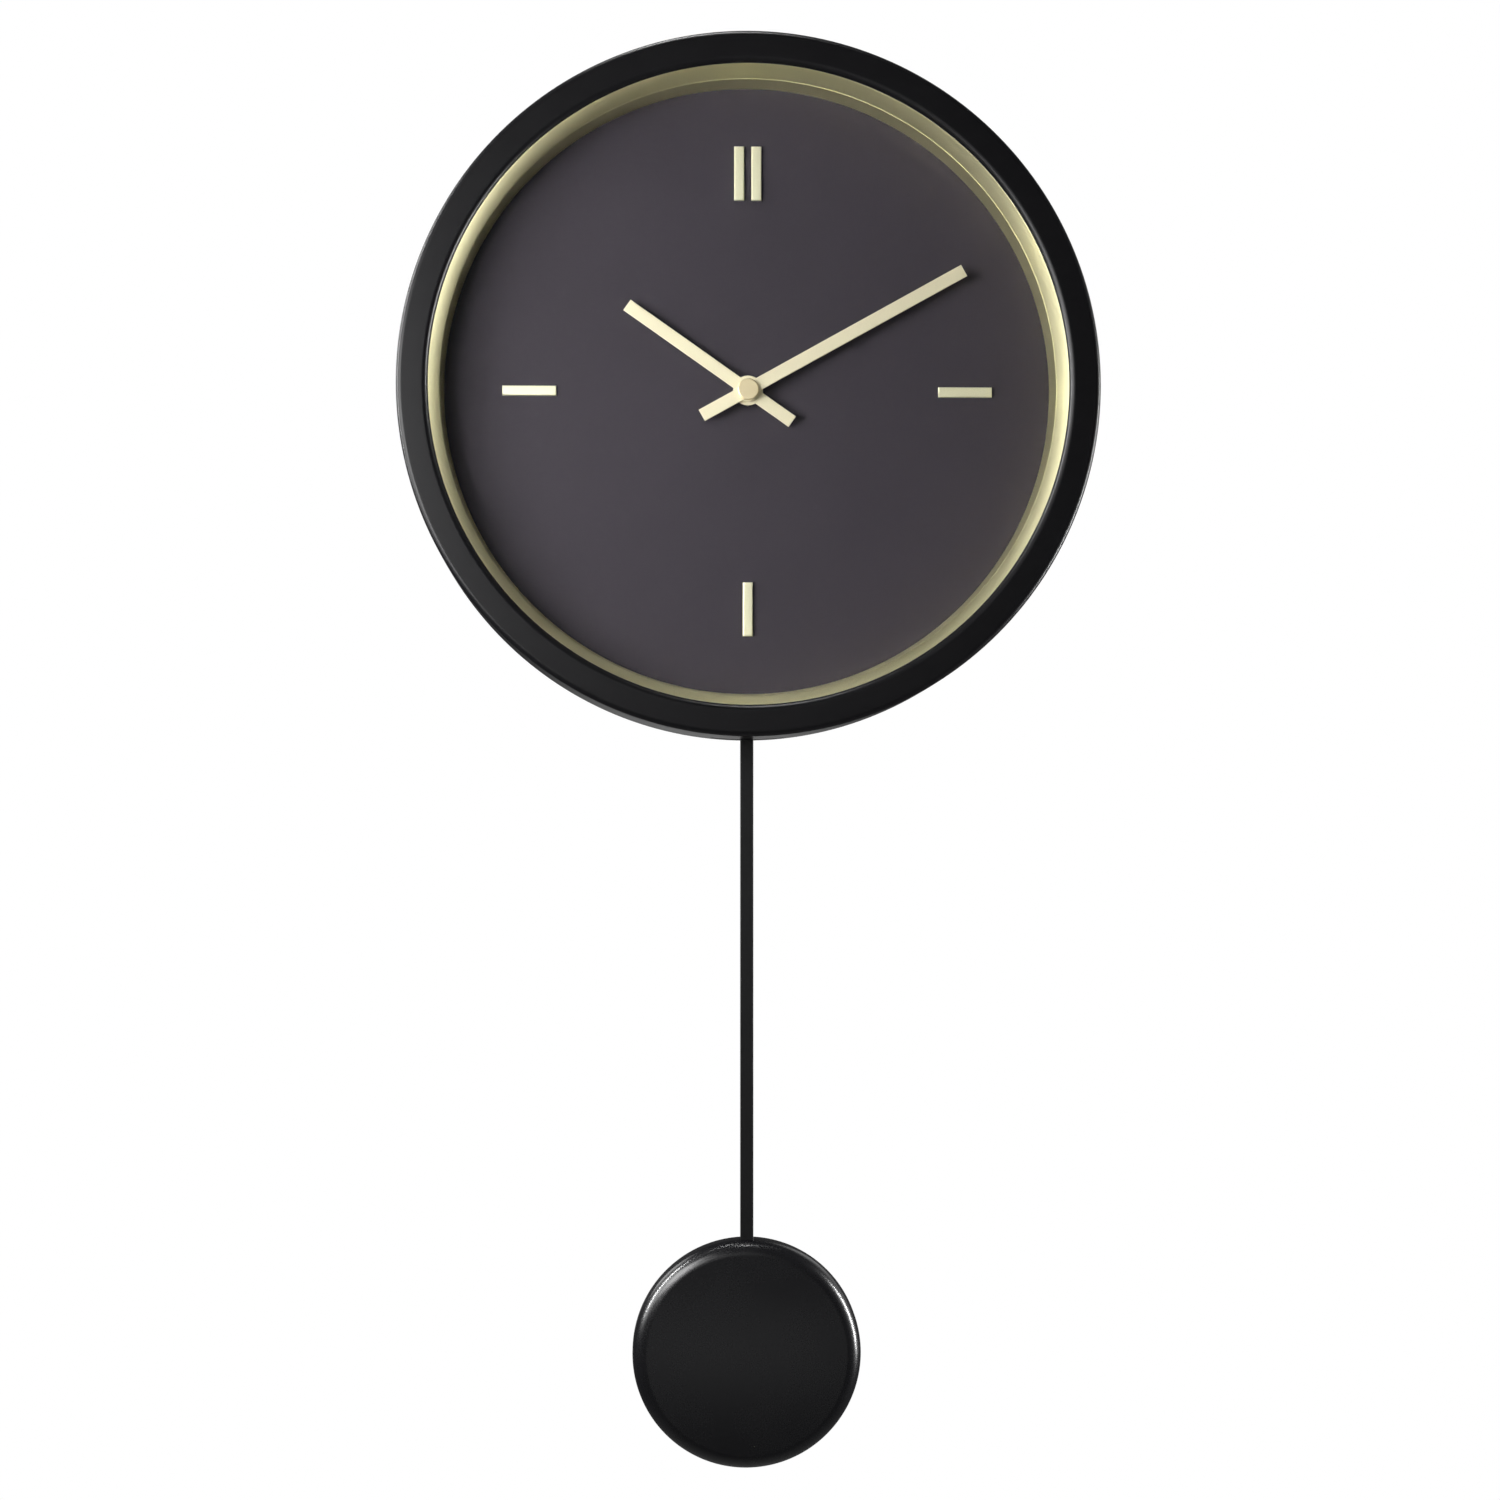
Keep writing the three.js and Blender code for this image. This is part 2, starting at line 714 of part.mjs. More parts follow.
// Blind bearing holes for every arbor, and for the pin that the pendulum's lever swings on.
function bearingHoles(front, back) {
  const arbors = [MOTION, THIRD, SECONDS, INTERMEDIATE, ROTOR, CENTRE];
  const holes = arbors.map(([x, z]) => disc(PIVOT_R + 0.1, front, back, TINY_ROUND, x, z));
  holes.push(disc(PIVOT_PIN_R + 0.1, front, back, TINY_ROUND, 0, PIVOT_Z));
  return holes;
}

const leverSlot = () =>
  box(
    -LEVER_SLOT.halfWidth,
    LEVER_SLOT.halfWidth,
    MOVEMENT_BOTTOM - 1,
    MOVEMENT_BOTTOM + 3,
    LEVER_SLOT.front,
    LEVER_SLOT.back,
  );

function movementFront() {
  const split = SHELL_SPLIT - GAP / 2;
  const inner = MOVEMENT_FRONT + SHELL_WALL;
  const body = cut(
    plate(outerOutline(), MOVEMENT_FRONT, split),
    plate(innerOutline(), inner, DEPTH),
    ...bearingHoles(PIVOT_FRONT - 0.1, inner + 0.1),
    disc(BUSHING_R + 0.9, 0, inner + 1, SMALL_ROUND),
    leverSlot(),
  );
  return piece("movement_front", movementPlastic(), body);
}

function movementBack() {
  const split = SHELL_SPLIT + GAP / 2;
  const inner = MOVEMENT_BACK - SHELL_WALL;
  const { bottom, top, wall, halfWidth } = BAY;
  const sides = MOVEMENT_HALF_WIDTH - SHELL_WALL + 0.5;
  const tray = cut(
    plate(outerOutline(), split, MOVEMENT_BACK),
    plate(innerOutline(), 0, inner),
    ...bearingHoles(inner - 0.1, PIVOT_BACK + 0.1),
  );
  const partitions = [bottom - wall, top].map((z) =>
    join(
      box(-sides, sides, z, z + wall, split, inner + 0.5),
      box(-halfWidth, halfWidth, z, z + wall, 30.3, split + 1),
    ),
  );
  const [knobX, knobZ] = MOTION;
  const body = cut(
    join(tray, ...partitions),
    box(-halfWidth, halfWidth, bottom, top, 0, DEPTH),
    disc(1.2, 0, DEPTH, TINY_ROUND, knobX, knobZ),
    leverSlot(),
  );
  return piece("movement_back", movementPlastic(), body);
}

// Brass neck that the hour pipe turns in. It goes through the dial and takes the clamping nut.
function threadedBushing() {
  const bore = HOUR_PIPE.outer + 0.15;
  const profile = [
    [bore, 22.1],
    [BUSHING_R, 22.1],
    [BUSHING_R, 28.5],
    [BUSHING_R + 0.8, 28.5],
    [BUSHING_R + 0.8, 29.9],
    [bore, 29.9],
  ];
  return piece("threaded_bushing", brass(), turned(profile, SMALL_ROUND));
}

function rubberWasher() {
  return piece("rubber_washer", rubber(), ring(BUSHING_R + 0.1, 8, 26.7, 28.2, SMALL_ROUND));
}

function clampNut() {
  const acrossCorners = 5.5;
  const blank = disc(acrossCorners, 22.6, DIAL_FRONT - GAP, 6);
  const thread = disc(BUSHING_R + 0.1, 0, DEPTH, SMALL_ROUND);
  return piece("clamp_nut", brass(), cut(blank, thread));
}

// ---------------------------------------------------------------- battery and contacts

function alongX(radius, left, right, segments) {
  const cylinder = new THREE.CylinderGeometry(radius, radius, right - left, segments);
  cylinder.rotateZ(TURN / 4).translate((left + right) / 2, y(BATTERY_DEPTH), BATTERY_Z);
  return solid(cylinder);
}

function batteryCell() {
  const can = alongX(BATTERY_R, -25, 24, SMALL_ROUND);
  const terminal = alongX(2.75, 23, 25.4, SMALL_ROUND);
  return piece("battery_cell", cellJacket(), join(can, terminal));
}

function contactPlate(name, left, right) {
  const body = box(left, right, BATTERY_Z - 5, BATTERY_Z + 5, 32, 42.5);
  return piece(name, steel(), body);
}

// Conical spring, wound from one length of wire, that presses on the cell's flat end.
function batterySpring() {
  class Cone extends THREE.Curve {
    getPoint(t, target = new THREE.Vector3()) {
      const turns = 1.75;
      const radius = 4 - 2.2 * t;
      const angle = turns * TURN * t;
      return target.set(
        -26.4 + 0.9 * t,
        y(BATTERY_DEPTH) + radius * Math.cos(angle),
        BATTERY_Z + radius * Math.sin(angle),
      );
    }
  }
  const wire = new THREE.Shape();
  wire.absarc(0, 0, 0.25, 0, TURN);
  const settings = { steps: 16, curveSegments: 4, bevelEnabled: false, extrudePath: new Cone() };
  return piece("battery_spring", steel(), solid(new THREE.ExtrudeGeometry(wire, settings)));
}

// ---------------------------------------------------------------- hands

const HAND_WIDTH = 4.8;

// A straight baton with a tail and a round boss, blanked from thin sheet.
function hand(name, reach, tail, bossR, boreR, front, back) {
  const half = HAND_WIDTH / 2;
  const body = cut(
    join(
      box(-half, half, -tail, reach, front, back),
      disc(bossR, front, back, SMALL_ROUND),
    ),
    disc(boreR, 0, DEPTH, SMALL_ROUND),
  );
  return piece(name, handGold(), body);
}

function handCap() {
  const profile = [
    [0, 17.2],
    [3.4, 17.2],
    [4, 17.7],
    [4, 18.8],
    [0, 18.8],
  ];
  return piece("hand_cap", handGold(), turned(profile, SMALL_ROUND));
}

// ---------------------------------------------------------------- pendulum

const LEVER = { front: 37, back: 39.2, hubR: 3.2, armHalf: 3, magnetZ: -58, magnetR: 3.5 };

function pivotPin() {
  return piece(
    "pendulum_pivot_pin",
    steel(),
    disc(PIVOT_PIN_R, PIVOT_FRONT, PIVOT_BACK, TINY_ROUND, 0, PIVOT_Z),
  );
}

// Moulded lever that swings on the pin, holds the drive magnet and carries the rod on a peg.
function swingLever() {
  const { front, back, hubR, armHalf, magnetZ, magnetR } = LEVER;
  const body = cut(
    join(
      disc(hubR, front, back, SMALL_ROUND, 0, PIVOT_Z),
      box(-armHalf, armHalf, ROD_EYE_Z, PIVOT_Z, front, back),
      disc(magnetR + 1.6, front, back, SMALL_ROUND, 0, magnetZ),
      disc(armHalf, front, back, SMALL_ROUND, 0, ROD_EYE_Z),
      disc(1.5, ROD_FRONT - 0.4, back, TINY_ROUND, 0, ROD_EYE_Z),
    ),
    disc(PIVOT_PIN_R + 0.1, 0, DEPTH, TINY_ROUND, 0, PIVOT_Z),
    disc(magnetR + 0.1, 0, DEPTH, SMALL_ROUND, 0, magnetZ),
  );
  return piece("swing_lever", whitePlastic(), body);
}

function leverMagnet() {
  const { front, back, magnetZ, magnetR } = LEVER;
  return piece("lever_magnet", steel(), disc(magnetR, front, back, SMALL_ROUND, 0, magnetZ));
}

function pendulumCoil() {
  return piece("pendulum_coil", copper(), ring(3, 8, 39.8, 42.2, SMALL_ROUND, 0, LEVER.magnetZ));
}

// Flat steel strip with an eye at the top that hangs on the lever's peg.
function pendulumRod() {
  const half = ROD_WIDTH / 2;
  const back = ROD_FRONT + ROD_THICK;
  const body = cut(
    join(
      disc(4, ROD_FRONT, back, SMALL_ROUND, 0, ROD_EYE_Z),
      box(-half, half, BOB_Z - 12, ROD_EYE_Z, ROD_FRONT, back),
    ),
    disc(1.7, 0, DEPTH, TINY_ROUND, 0, ROD_EYE_Z),
  );
  return piece("pendulum_rod", satinBlack(), body);
}

const BOB_WALL = 1.2;
const CLAMP_SCREW_X = 6;
const BOB_EDGE = 6; // rounding between the bob's face and its rim
const BOB_DOME = 1.2; // how far the middle of the face stands proud of the start of that rounding

// Profile points from the middle of a face outwards, along its shallow dome.
function domePoints(front) {
  const faceR = BOB_R - BOB_EDGE;
  return [0, 0.35, 0.7].map((share) => [faceR * share, front + BOB_DOME * share ** 2]);
}

function bobFront() {
  const corner = [BOB_R - BOB_EDGE, BOB_FRONT + BOB_DOME + BOB_EDGE];
  const profile = [
    ...domePoints(BOB_FRONT),
    ...arcPoints(corner, BOB_EDGE, -90, 0, 5),
    [BOB_R, BOB_BACK],
    [BOB_R - BOB_WALL, BOB_BACK],
    ...arcPoints(corner, BOB_EDGE - BOB_WALL, 0, -90, 3),
    ...domePoints(BOB_FRONT + BOB_WALL).reverse(),
  ];
  const rodHalf = ROD_WIDTH / 2 + GAP;
  const notch = box(
    -rodHalf,
    rodHalf,
    BOB_Z,
    BOB_Z + BOB_R + 1,
    ROD_FRONT - GAP,
    BOB_BACK - 1.8,
  );
  return piece("bob_front", bobBlack(), cut(turned(profile, BOB_ROUND, 0, BOB_Z), notch));
}

function bobBack() {
  const radius = BOB_R - BOB_WALL - GAP;
  const plateFront = BOB_BACK - 1.4;
  const hole = disc(1.3, 0, DEPTH, TINY_ROUND, CLAMP_SCREW_X, BOB_Z);
  const plain = disc(radius, plateFront, BOB_BACK, BOB_ROUND, 0, BOB_Z);
  return piece("bob_back", satinBlack(), cut(plain, hole));
}

function bobWeight() {
  return piece("bob_weight", steel(), disc(35, 31.7, 34.4, BOB_ROUND, 0, BOB_Z));
}

// Moulded clamp that grips the rod against the weight when its screw is drawn up.
function rodClamp() {
  const body = cut(
    box(-10, 10, BOB_Z - 6, BOB_Z + 6, ROD_FRONT + 0.2, BOB_BACK - 1.6),
    box(-ROD_WIDTH / 2 - GAP, ROD_WIDTH / 2 + GAP, BOB_Z - 7, BOB_Z + 7, 0, ROD_FRONT + ROD_THICK + GAP),
    disc(1.1, 36, DEPTH, TINY_ROUND, CLAMP_SCREW_X, BOB_Z),
  );
  return piece("rod_clamp", movementPlastic(), body);
}

// ---------------------------------------------------------------- assembly

function numbered(prefix, angles, make) {
  return angles.map((angle, i) => make(`${prefix}_${i + 1}`, angle));
}

const clock = new THREE.Group();
const dialCentre = new THREE.Group();
dialCentre.position.z = -HANG_HEIGHT;
clock.add(dialCentre);

dialCentre.add(
  bezelCase(),
  glassLens(),
  revealRing(),
  dialPlate(),
  ...markers(),
  ...numbered("ring_screw", RING_SCREW_ANGLES, (name, angle) => {
    const [x, z] = polar(RING_SCREW.radius, angle);
    return screw(name, x, z, FLANGE_BACK + 0.1, 4.4, RING_SCREW.head, RING_SCREW.shank);
  }),
  backCover(),
  ...numbered("cover_screw", COVER_SCREW_ANGLES, (name, angle) => {
    const [x, z] = polar(COVER_SCREW.radius, angle);
    return screw(name, x, z, COVER_BACK + 0.05, 10, 2.7, COVER_SCREW.shank);
  }),
  hangerPlate(),
  hangerScrew("hanger_screw_left", -1),
  hangerScrew("hanger_screw_right", 1),
  wallPad("wall_pad_left", -1),
  wallPad("wall_pad_right", 1),
);

dialCentre.add(
  threadedBushing(),
  rubberWasher(),
  clampNut(),
  movementFront(),
  movementBack(),
  statorCore(),
  coilCore(),
  coilBobbin(),
  coilWinding(),
  circuitBoard(),
  quartzCrystal(),
  contactPlate("negative_contact", -27.1, -26.8),
  batterySpring(),
  contactPlate("positive_contact", 25.6, 26),
  pivotPin(),
  pendulumCoil(),
);

const minuteAngle = 6 * MINUTES_PAST_TEN;
const hourAngle = 300 + minuteAngle / 12;
const minuteHand = hand("minute_hand", 92.9, 19.9, 4.4, 1.6, 19, 19.8);
const hourHand = hand("hour_hand", 55.5, 20.3, 5.6, 2.7, 21, 21.8);
minuteHand.rotation.y = radians(minuteAngle);
hourHand.rotation.y = radians(hourAngle);

const train = goingTrain();
dialCentre.add(
  minuteArbor(),
  centreWheel(),
  minuteHand,
  handCap(),
  hourWheel(),
  hourHand,
  motionWheel(),
  settingKnob(),
  train.third,
  train.seconds,
  train.intermediate,
  rotorPinion(),
  rotorMagnet(),
  batteryCell(),
);

dialCentre.add(
  swingLever(),
  leverMagnet(),
  pendulumRod(),
  bobFront(),
  bobBack(),
  bobWeight(),
  rodClamp(),
  screw("clamp_screw", CLAMP_SCREW_X, BOB_Z, BOB_BACK + 0.05, 4, 2, 1),
);

export default clock;
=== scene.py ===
import math
import bmesh
import bpy
from mathutils import Matrix, Vector


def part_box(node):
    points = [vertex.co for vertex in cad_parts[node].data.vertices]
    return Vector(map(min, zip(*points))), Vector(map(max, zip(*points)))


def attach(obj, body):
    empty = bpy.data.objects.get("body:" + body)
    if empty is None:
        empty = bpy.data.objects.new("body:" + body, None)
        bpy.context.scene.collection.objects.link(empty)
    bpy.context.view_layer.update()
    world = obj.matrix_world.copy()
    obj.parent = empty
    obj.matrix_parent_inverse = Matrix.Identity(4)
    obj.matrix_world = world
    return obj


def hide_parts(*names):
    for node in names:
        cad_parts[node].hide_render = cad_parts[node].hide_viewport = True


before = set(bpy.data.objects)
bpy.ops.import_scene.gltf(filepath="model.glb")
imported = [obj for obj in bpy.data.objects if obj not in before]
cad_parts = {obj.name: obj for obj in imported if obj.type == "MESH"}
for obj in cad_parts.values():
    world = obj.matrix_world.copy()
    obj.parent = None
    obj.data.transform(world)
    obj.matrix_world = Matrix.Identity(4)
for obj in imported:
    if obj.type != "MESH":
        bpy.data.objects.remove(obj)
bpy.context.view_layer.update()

MM = 0.001
case_low, case_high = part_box("bezel_case")
DIAL_X = 0.0
DIAL_Z = (case_low.z + case_high.z) / 2
FRONT_Y = case_low.y


# ---------------------------------------------------------------------------
# Case: the one black moulding that everything hangs in. ABS, spark-eroded to a
# fine satin grain, with a rounded outer edge, a rolled lip round the lens, a
# side wall that widens towards the wall for mould draft, and a swing slot.
# ---------------------------------------------------------------------------
class Wire:
    """A link in a material's node tree. Sums on wires add Math nodes; add() makes any other node."""

    def __init__(self, tree, socket=None):
        self.tree = tree
        self.socket = socket

    def add(self, kind, settings=None, sockets=None, out=0):
        node = self.tree.nodes.new(kind)
        for name, value in (settings or {}).items():
            setattr(node, name, value)
        for key, value in (sockets or {}).items():
            if isinstance(value, Wire):
                self.tree.links.new(value.socket, node.inputs[key])
            else:
                node.inputs[key].default_value = value
        return Wire(self.tree, node.outputs[out])

    def sum_node(self, operation, left, right):
        return self.add("ShaderNodeMath", {"operation": operation}, {0: left, 1: right})

    def __add__(self, other):
        return self.sum_node("ADD", self, other)

    def __mul__(self, other):
        return self.sum_node("MULTIPLY", self, other)

    def __pow__(self, other):
        return self.sum_node("POWER", self, other)


def new_finish(name, base, roughness, metallic=0.0):
    """A material with its Principled shader's plain values set, and a wire that starts its nodes."""
    material = bpy.data.materials.new(name)
    material.use_nodes = True
    tree = material.node_tree
    shader = tree.nodes["Principled BSDF"]
    shader.inputs["Base Color"].default_value = (*base, 1.0)
    shader.inputs["Roughness"].default_value = roughness
    shader.inputs["Metallic"].default_value = metallic
    return material, shader, Wire(tree)


def drive(wire, shader, socket):
    wire.tree.links.new(wire.socket, shader.inputs[socket])


def place(start):
    """The point on the piece, in metres."""
    return start.add("ShaderNodeTexCoord", out="Object")


def speckle(start, at, size, detail=3.0, roughness=0.55):
    """Noise between 0 and 1 whose blotches are about size across."""
    sockets = {"Vector": at, "Scale": 1.0 / size, "Detail": detail, "Roughness": roughness}
    return start.add("ShaderNodeTexNoise", None, sockets, out=0)


def stretched(start, at, factors):
    return start.add("ShaderNodeVectorMath", {"operation": "MULTIPLY"}, {0: at, 1: factors})


def mixed(start, factor, first, second):
    """A colour between two others."""
    sockets = {0: factor, 6: (*first, 1.0), 7: (*second, 1.0)}
    return start.add("ShaderNodeMix", {"data_type": "RGBA"}, sockets, out=2)


def relief(start, height, depth, distance):
    sockets = {"Height": height, "Strength": depth, "Distance": distance}
    return start.add("ShaderNodeBump", None, sockets)


def moulded(name, base, roughness, grain=0.25 * MM, depth=0.25, cloud=0.12, shine=0.5):
    """Grained plastic: a fine erosion texture, slow changes of tone, and handling marks in the gloss."""
    material, shader, start = new_finish(name, base, roughness)
    shader.inputs["Specular IOR Level"].default_value = shine
    at = place(start)
    slow = speckle(start, at, 45 * MM, 4.0)
    fine = speckle(start, at, grain, 2.0, 0.7)
    marks = speckle(start, stretched(start, at, (1.0, 1.0, 2.6)), 9 * MM, 5.0, 0.65)
    paler = tuple(min(1.0, channel * (1.0 + 3.0 * cloud) + 0.001) for channel in base)
    drive(mixed(start, slow * 0.75 + fine * 0.25, base, paler), shader, "Base Color")
    drive(marks * cloud + fine * 0.06 + (roughness - 0.5 * cloud - 0.03), shader, "Roughness")
    drive(relief(start, fine, depth, 0.03 * MM), shader, "Normal")
    return material


def arc(centre, radius, start, end, steps):
    """Points [radius, depth] round a profile's corner, angles in degrees."""
    points = []
    for i in range(steps + 1):
        angle = math.radians(start + (end - start) * i / steps)
        points.append((centre[0] + radius * math.cos(angle), centre[1] + radius * math.sin(angle)))
    return points


def spun(profile, steps, centre=(DIAL_X, DIAL_Z), mesh=None):
    """Spins a closed profile of (radius, y) about a line that runs front to back."""
    mesh = mesh or bmesh.new()
    rings = []
    for radius, y in profile:
        if radius < 1e-9:
            rings.append([mesh.verts.new((centre[0], y, centre[1]))])
            continue
        loop = []
        for i in range(steps):
            angle = 2 * math.pi * i / steps
            across = centre[0] + radius * math.sin(angle)
            up = centre[1] + radius * math.cos(angle)
            loop.append(mesh.verts.new((across, y, up)))
        rings.append(loop)
    open_ended = len(rings[0]) == 1 and len(rings[-1]) == 1
    pairs = list(zip(rings, rings[1:]))
    if not open_ended:
        pairs.append((rings[-1], rings[0]))
    for near, far in pairs:
        for i in range(steps):
            k = (i + 1) % steps
            if len(near) == 1:
                mesh.faces.new((near[0], far[i], far[k]))
            elif len(far) == 1:
                mesh.faces.new((near[i], far[0], near[k]))
            else:
                mesh.faces.new((near[i], far[i], far[k], near[k]))
    bmesh.ops.recalc_face_normals(mesh, faces=mesh.faces)
    return mesh


def block(size, centre):
    mesh = bmesh.new()
    matrix = Matrix.Translation(centre) @ Matrix.Diagonal((*size, 1.0))
    bmesh.ops.create_cube(mesh, size=1.0, matrix=matrix)
    return mesh


def soften(mesh, width, segments=3, over=40.0):
    """Rounds every edge sharper than the angle over."""
    limit = math.radians(over)
    edges = [e for e in mesh.edges if len(e.link_faces) == 2 and e.calc_face_angle() > limit]
    bmesh.ops.bevel(
        mesh,
        geom=edges,
        offset=width,
        segments=segments,
        profile=0.5,
        affect="EDGES",
        clamp_overlap=True,
    )
    return mesh


def as_object(name, mesh):
    data = bpy.data.meshes.new(name)
    mesh.to_mesh(data)
    mesh.free()
    made = bpy.data.objects.new(name, data)
    bpy.context.scene.collection.objects.link(made)
    return made


def carve(target, tool):
    """Cuts one object's shape out of another for good."""
    modifier = target.modifiers.new("cut", "BOOLEAN")
    modifier.operation = "DIFFERENCE"
    modifier.solver = "EXACT"
    modifier.object = tool
    bpy.context.view_layer.update()
    graph = bpy.context.evaluated_depsgraph_get()
    carved = bpy.data.meshes.new_from_object(target.evaluated_get(graph))
    target.modifiers.clear()
    target.data = carved
    bpy.data.objects.remove(tool)


def dress(made, material, body, slot, *nodes, crease=32.0):
    """Smooths a piece up to its creases, then gives it a finish and a body, and hides the solids it stands
    for.
    """
    data = made.data
    mesh = bmesh.new()
    mesh.from_mesh(data)
    limit = math.radians(crease)
    for face in mesh.faces:
        face.smooth = True
    for edge in mesh.edges:
        edge.smooth = len(edge.link_faces) == 2 and edge.calc_face_angle() < limit
    mesh.to_mesh(data)
    mesh.free()
    data.materials.clear()
    data.materials.append(material)
    weighted = made.modifiers.new("even_normals", "WEIGHTED_NORMAL")
    weighted.keep_sharp = True
    weighted.weight = 80
    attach(made, body)
    if nodes:
        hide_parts(*nodes)


def depth(distance):
    """The Y of a distance behind the front plane, in millimetres."""
    return FRONT_Y + distance * MM


CASE_BACK = (case_high.y - FRONT_Y) / MM
CASE_BACK_R = (case_high.x - case_low.x) / 2 / MM
CASE_DRAFT = 1.4
CASE_R = CASE_BACK_R - CASE_DRAFT
SIGHT_R = 118.3
WALL = 2.4
EDGE = 2.1
LIP = 2.3
LARGE_STEPS = 240
PILLAR_ANGLES = (45, 135, 225, 315)
PILLAR_CIRCLE = 124.3
PILLAR_BORE, PILLAR_R = 1.5, 5.0
PILLAR_FRONT, PILLAR_BACK = 28.0, 44.4
SLOT_HALF, SLOT_FRONT, SLOT_BACK = 14.0, 33.0, 38.5
SLOT_HEIGHT, SLOT_ROUNDING = 11.0, 1.2
DRAFT_DEPTH = 23.0

case_profile = [(CASE_BACK_R - 0.5, CASE_BACK), (CASE_BACK_R, CASE_BACK - 0.5)]
case_profile += [(CASE_BACK_R - CASE_DRAFT / 2, DRAFT_DEPTH)]
case_profile += arc((CASE_R - EDGE, EDGE), EDGE, 0, -90, 12)
case_profile += [((CASE_R + SIGHT_R) / 2, 0.0)]
case_profile += arc((SIGHT_R + LIP, LIP), LIP, -90, -180, 12)
case_profile += [(SIGHT_R, WALL), (CASE_R - WALL, WALL)]
case_profile += [(CASE_BACK_R - WALL, CASE_BACK - 0.3), (CASE_BACK_R - WALL + 0.3, CASE_BACK)]
case_mesh = spun([(r * MM, depth(d)) for r, d in case_profile], LARGE_STEPS)
for angle in PILLAR_ANGLES:
    across = PILLAR_CIRCLE * math.cos(math.radians(angle)) * MM
    up = PILLAR_CIRCLE * math.sin(math.radians(angle)) * MM
    pillar = [(PILLAR_BORE, PILLAR_FRONT), (PILLAR_R, PILLAR_FRONT)]
    pillar += [(PILLAR_R, PILLAR_BACK), (PILLAR_BORE, PILLAR_BACK)]
    spun([(r * MM, depth(d)) for r, d in pillar], 32, (DIAL_X + across, DIAL_Z + up), case_mesh)
case = as_object("case_moulding", case_mesh)
slot_size = Vector((2 * SLOT_HALF, SLOT_BACK - SLOT_FRONT, SLOT_HEIGHT)) * MM
slot_centre = Vector((DIAL_X, depth((SLOT_FRONT + SLOT_BACK) / 2), DIAL_Z - CASE_R * MM))
carve(case, as_object("slot_tool", soften(block(slot_size, slot_centre), SLOT_ROUNDING * MM, 4)))
case_black = moulded("satin_black_case", (0.0016, 0.0015, 0.002), 0.34, shine=0.22)
dress(case, case_black, "case", "case_black", "bezel_case")


# ---------------------------------------------------------------------------
# Lens: a flat disc of clear float glass, ground round the edge, trapped between
# the case's lip and the flange of the reveal ring.
# ---------------------------------------------------------------------------
def clear_glass():
    material, shader, start = new_finish("clear_glass", (0.01, 0.012, 0.012), 0.03)
    shader.inputs["IOR"].default_value = 1.5
    glance = start.add("ShaderNodeLayerWeight", None, {"Blend": 0.12}, out="Fresnel")
    dust = speckle(start, place(start), 14 * MM, 5.0)
    drive(glance * 0.25 + dust * 0.01 + 0.02, shader, "Alpha")
    drive(dust * 0.05 + 0.02, shader, "Roughness")
    return material


lens_low, lens_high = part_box("glass_lens")
lens_r = (lens_high.x - lens_low.x) / 2
arris = 0.3 * MM
lens_profile = [
    (0.0, lens_low.y),
    (lens_r - arris, lens_low.y),
    (lens_r, lens_low.y + arris),
    (lens_r, lens_high.y - arris),
    (lens_r - arris, lens_high.y),
    (0.0, lens_high.y),
]
lens = as_object("front_lens", spun(lens_profile, LARGE_STEPS))
dress(lens, clear_glass(), "case", "lens", "glass_lens")


# ---------------------------------------------------------------------------
# Reveal ring: spun aluminium, anodised pale gold and satin brushed round and
# round. A wide cone leads in from the lens, then a fine groove, then a steeper
# wall down to the dial. Three screws through its flange hold it to the case.
# ---------------------------------------------------------------------------
def spun_metal(name, base, shade, roughness, metallic):
    """Metal brushed in circles about the dial's centre."""
    material, shader, start = new_finish(name, base, roughness, metallic)
    at = place(start)
    centred = start.add("ShaderNodeVectorMath", {"operation": "SUBTRACT"}, {0: at, 1: (DIAL_X, 0, DIAL_Z)})
    flat = stretched(start, centred, (1.0, 0.0, 1.0))
    radius = start.add("ShaderNodeVectorMath", {"operation": "LENGTH"}, {0: flat}, out="Value")
    split = start.add("ShaderNodeSeparateXYZ", None, {0: centred}, out="Y")
    track = start.add("ShaderNodeCombineXYZ", None, {"X": radius, "Y": split, "Z": 0.0})
    lines = speckle(start, track, 0.16 * MM, 2.0, 0.6)
    slow = speckle(start, at, 30 * MM, 3.0)
    drive(mixed(start, lines * 0.6 + slow * 0.4, shade, base), shader, "Base Color")
    drive(lines * 0.14 + slow * 0.06 + (roughness - 0.1), shader, "Roughness")
    drive(relief(start, lines, 0.18, 0.012 * MM), shader, "Normal")
    return material


ring_low, ring_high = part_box("reveal_ring")
FLANGE_R = (ring_high.x - ring_low.x) / 2 / MM
FLANGE_FRONT = (ring_low.y - FRONT_Y) / MM
FOOT = (ring_high.y - FRONT_Y) / MM
CONE_R = 118.6
STEP_R, STEP_DEPTH = 115.0, 12.7
ring_profile = [(CONE_R + 0.25, FLANGE_FRONT), (CONE_R, FLANGE_FRONT + 0.25)]
ring_profile += [(116.8, 8.8), (STEP_R + 0.1, STEP_DEPTH - 0.2), (STEP_R + 0.2, STEP_DEPTH)]
ring_profile += [(STEP_R + 0.8, STEP_DEPTH + 0.05), (STEP_R + 0.8, STEP_DEPTH + 0.75)]
ring_profile += [(STEP_R + 0.1, STEP_DEPTH + 0.85), (STEP_R - 0.03, STEP_DEPTH + 1.1)]
ring_profile += [(114.5, 19.0), (114.0, FOOT), (119.2, FOOT), (119.2, FOOT - 1.4)]
ring_profile += [(115.4, FOOT - 1.4), (117.0, STEP_DEPTH + 1.4), (117.0, STEP_DEPTH - 0.5)]
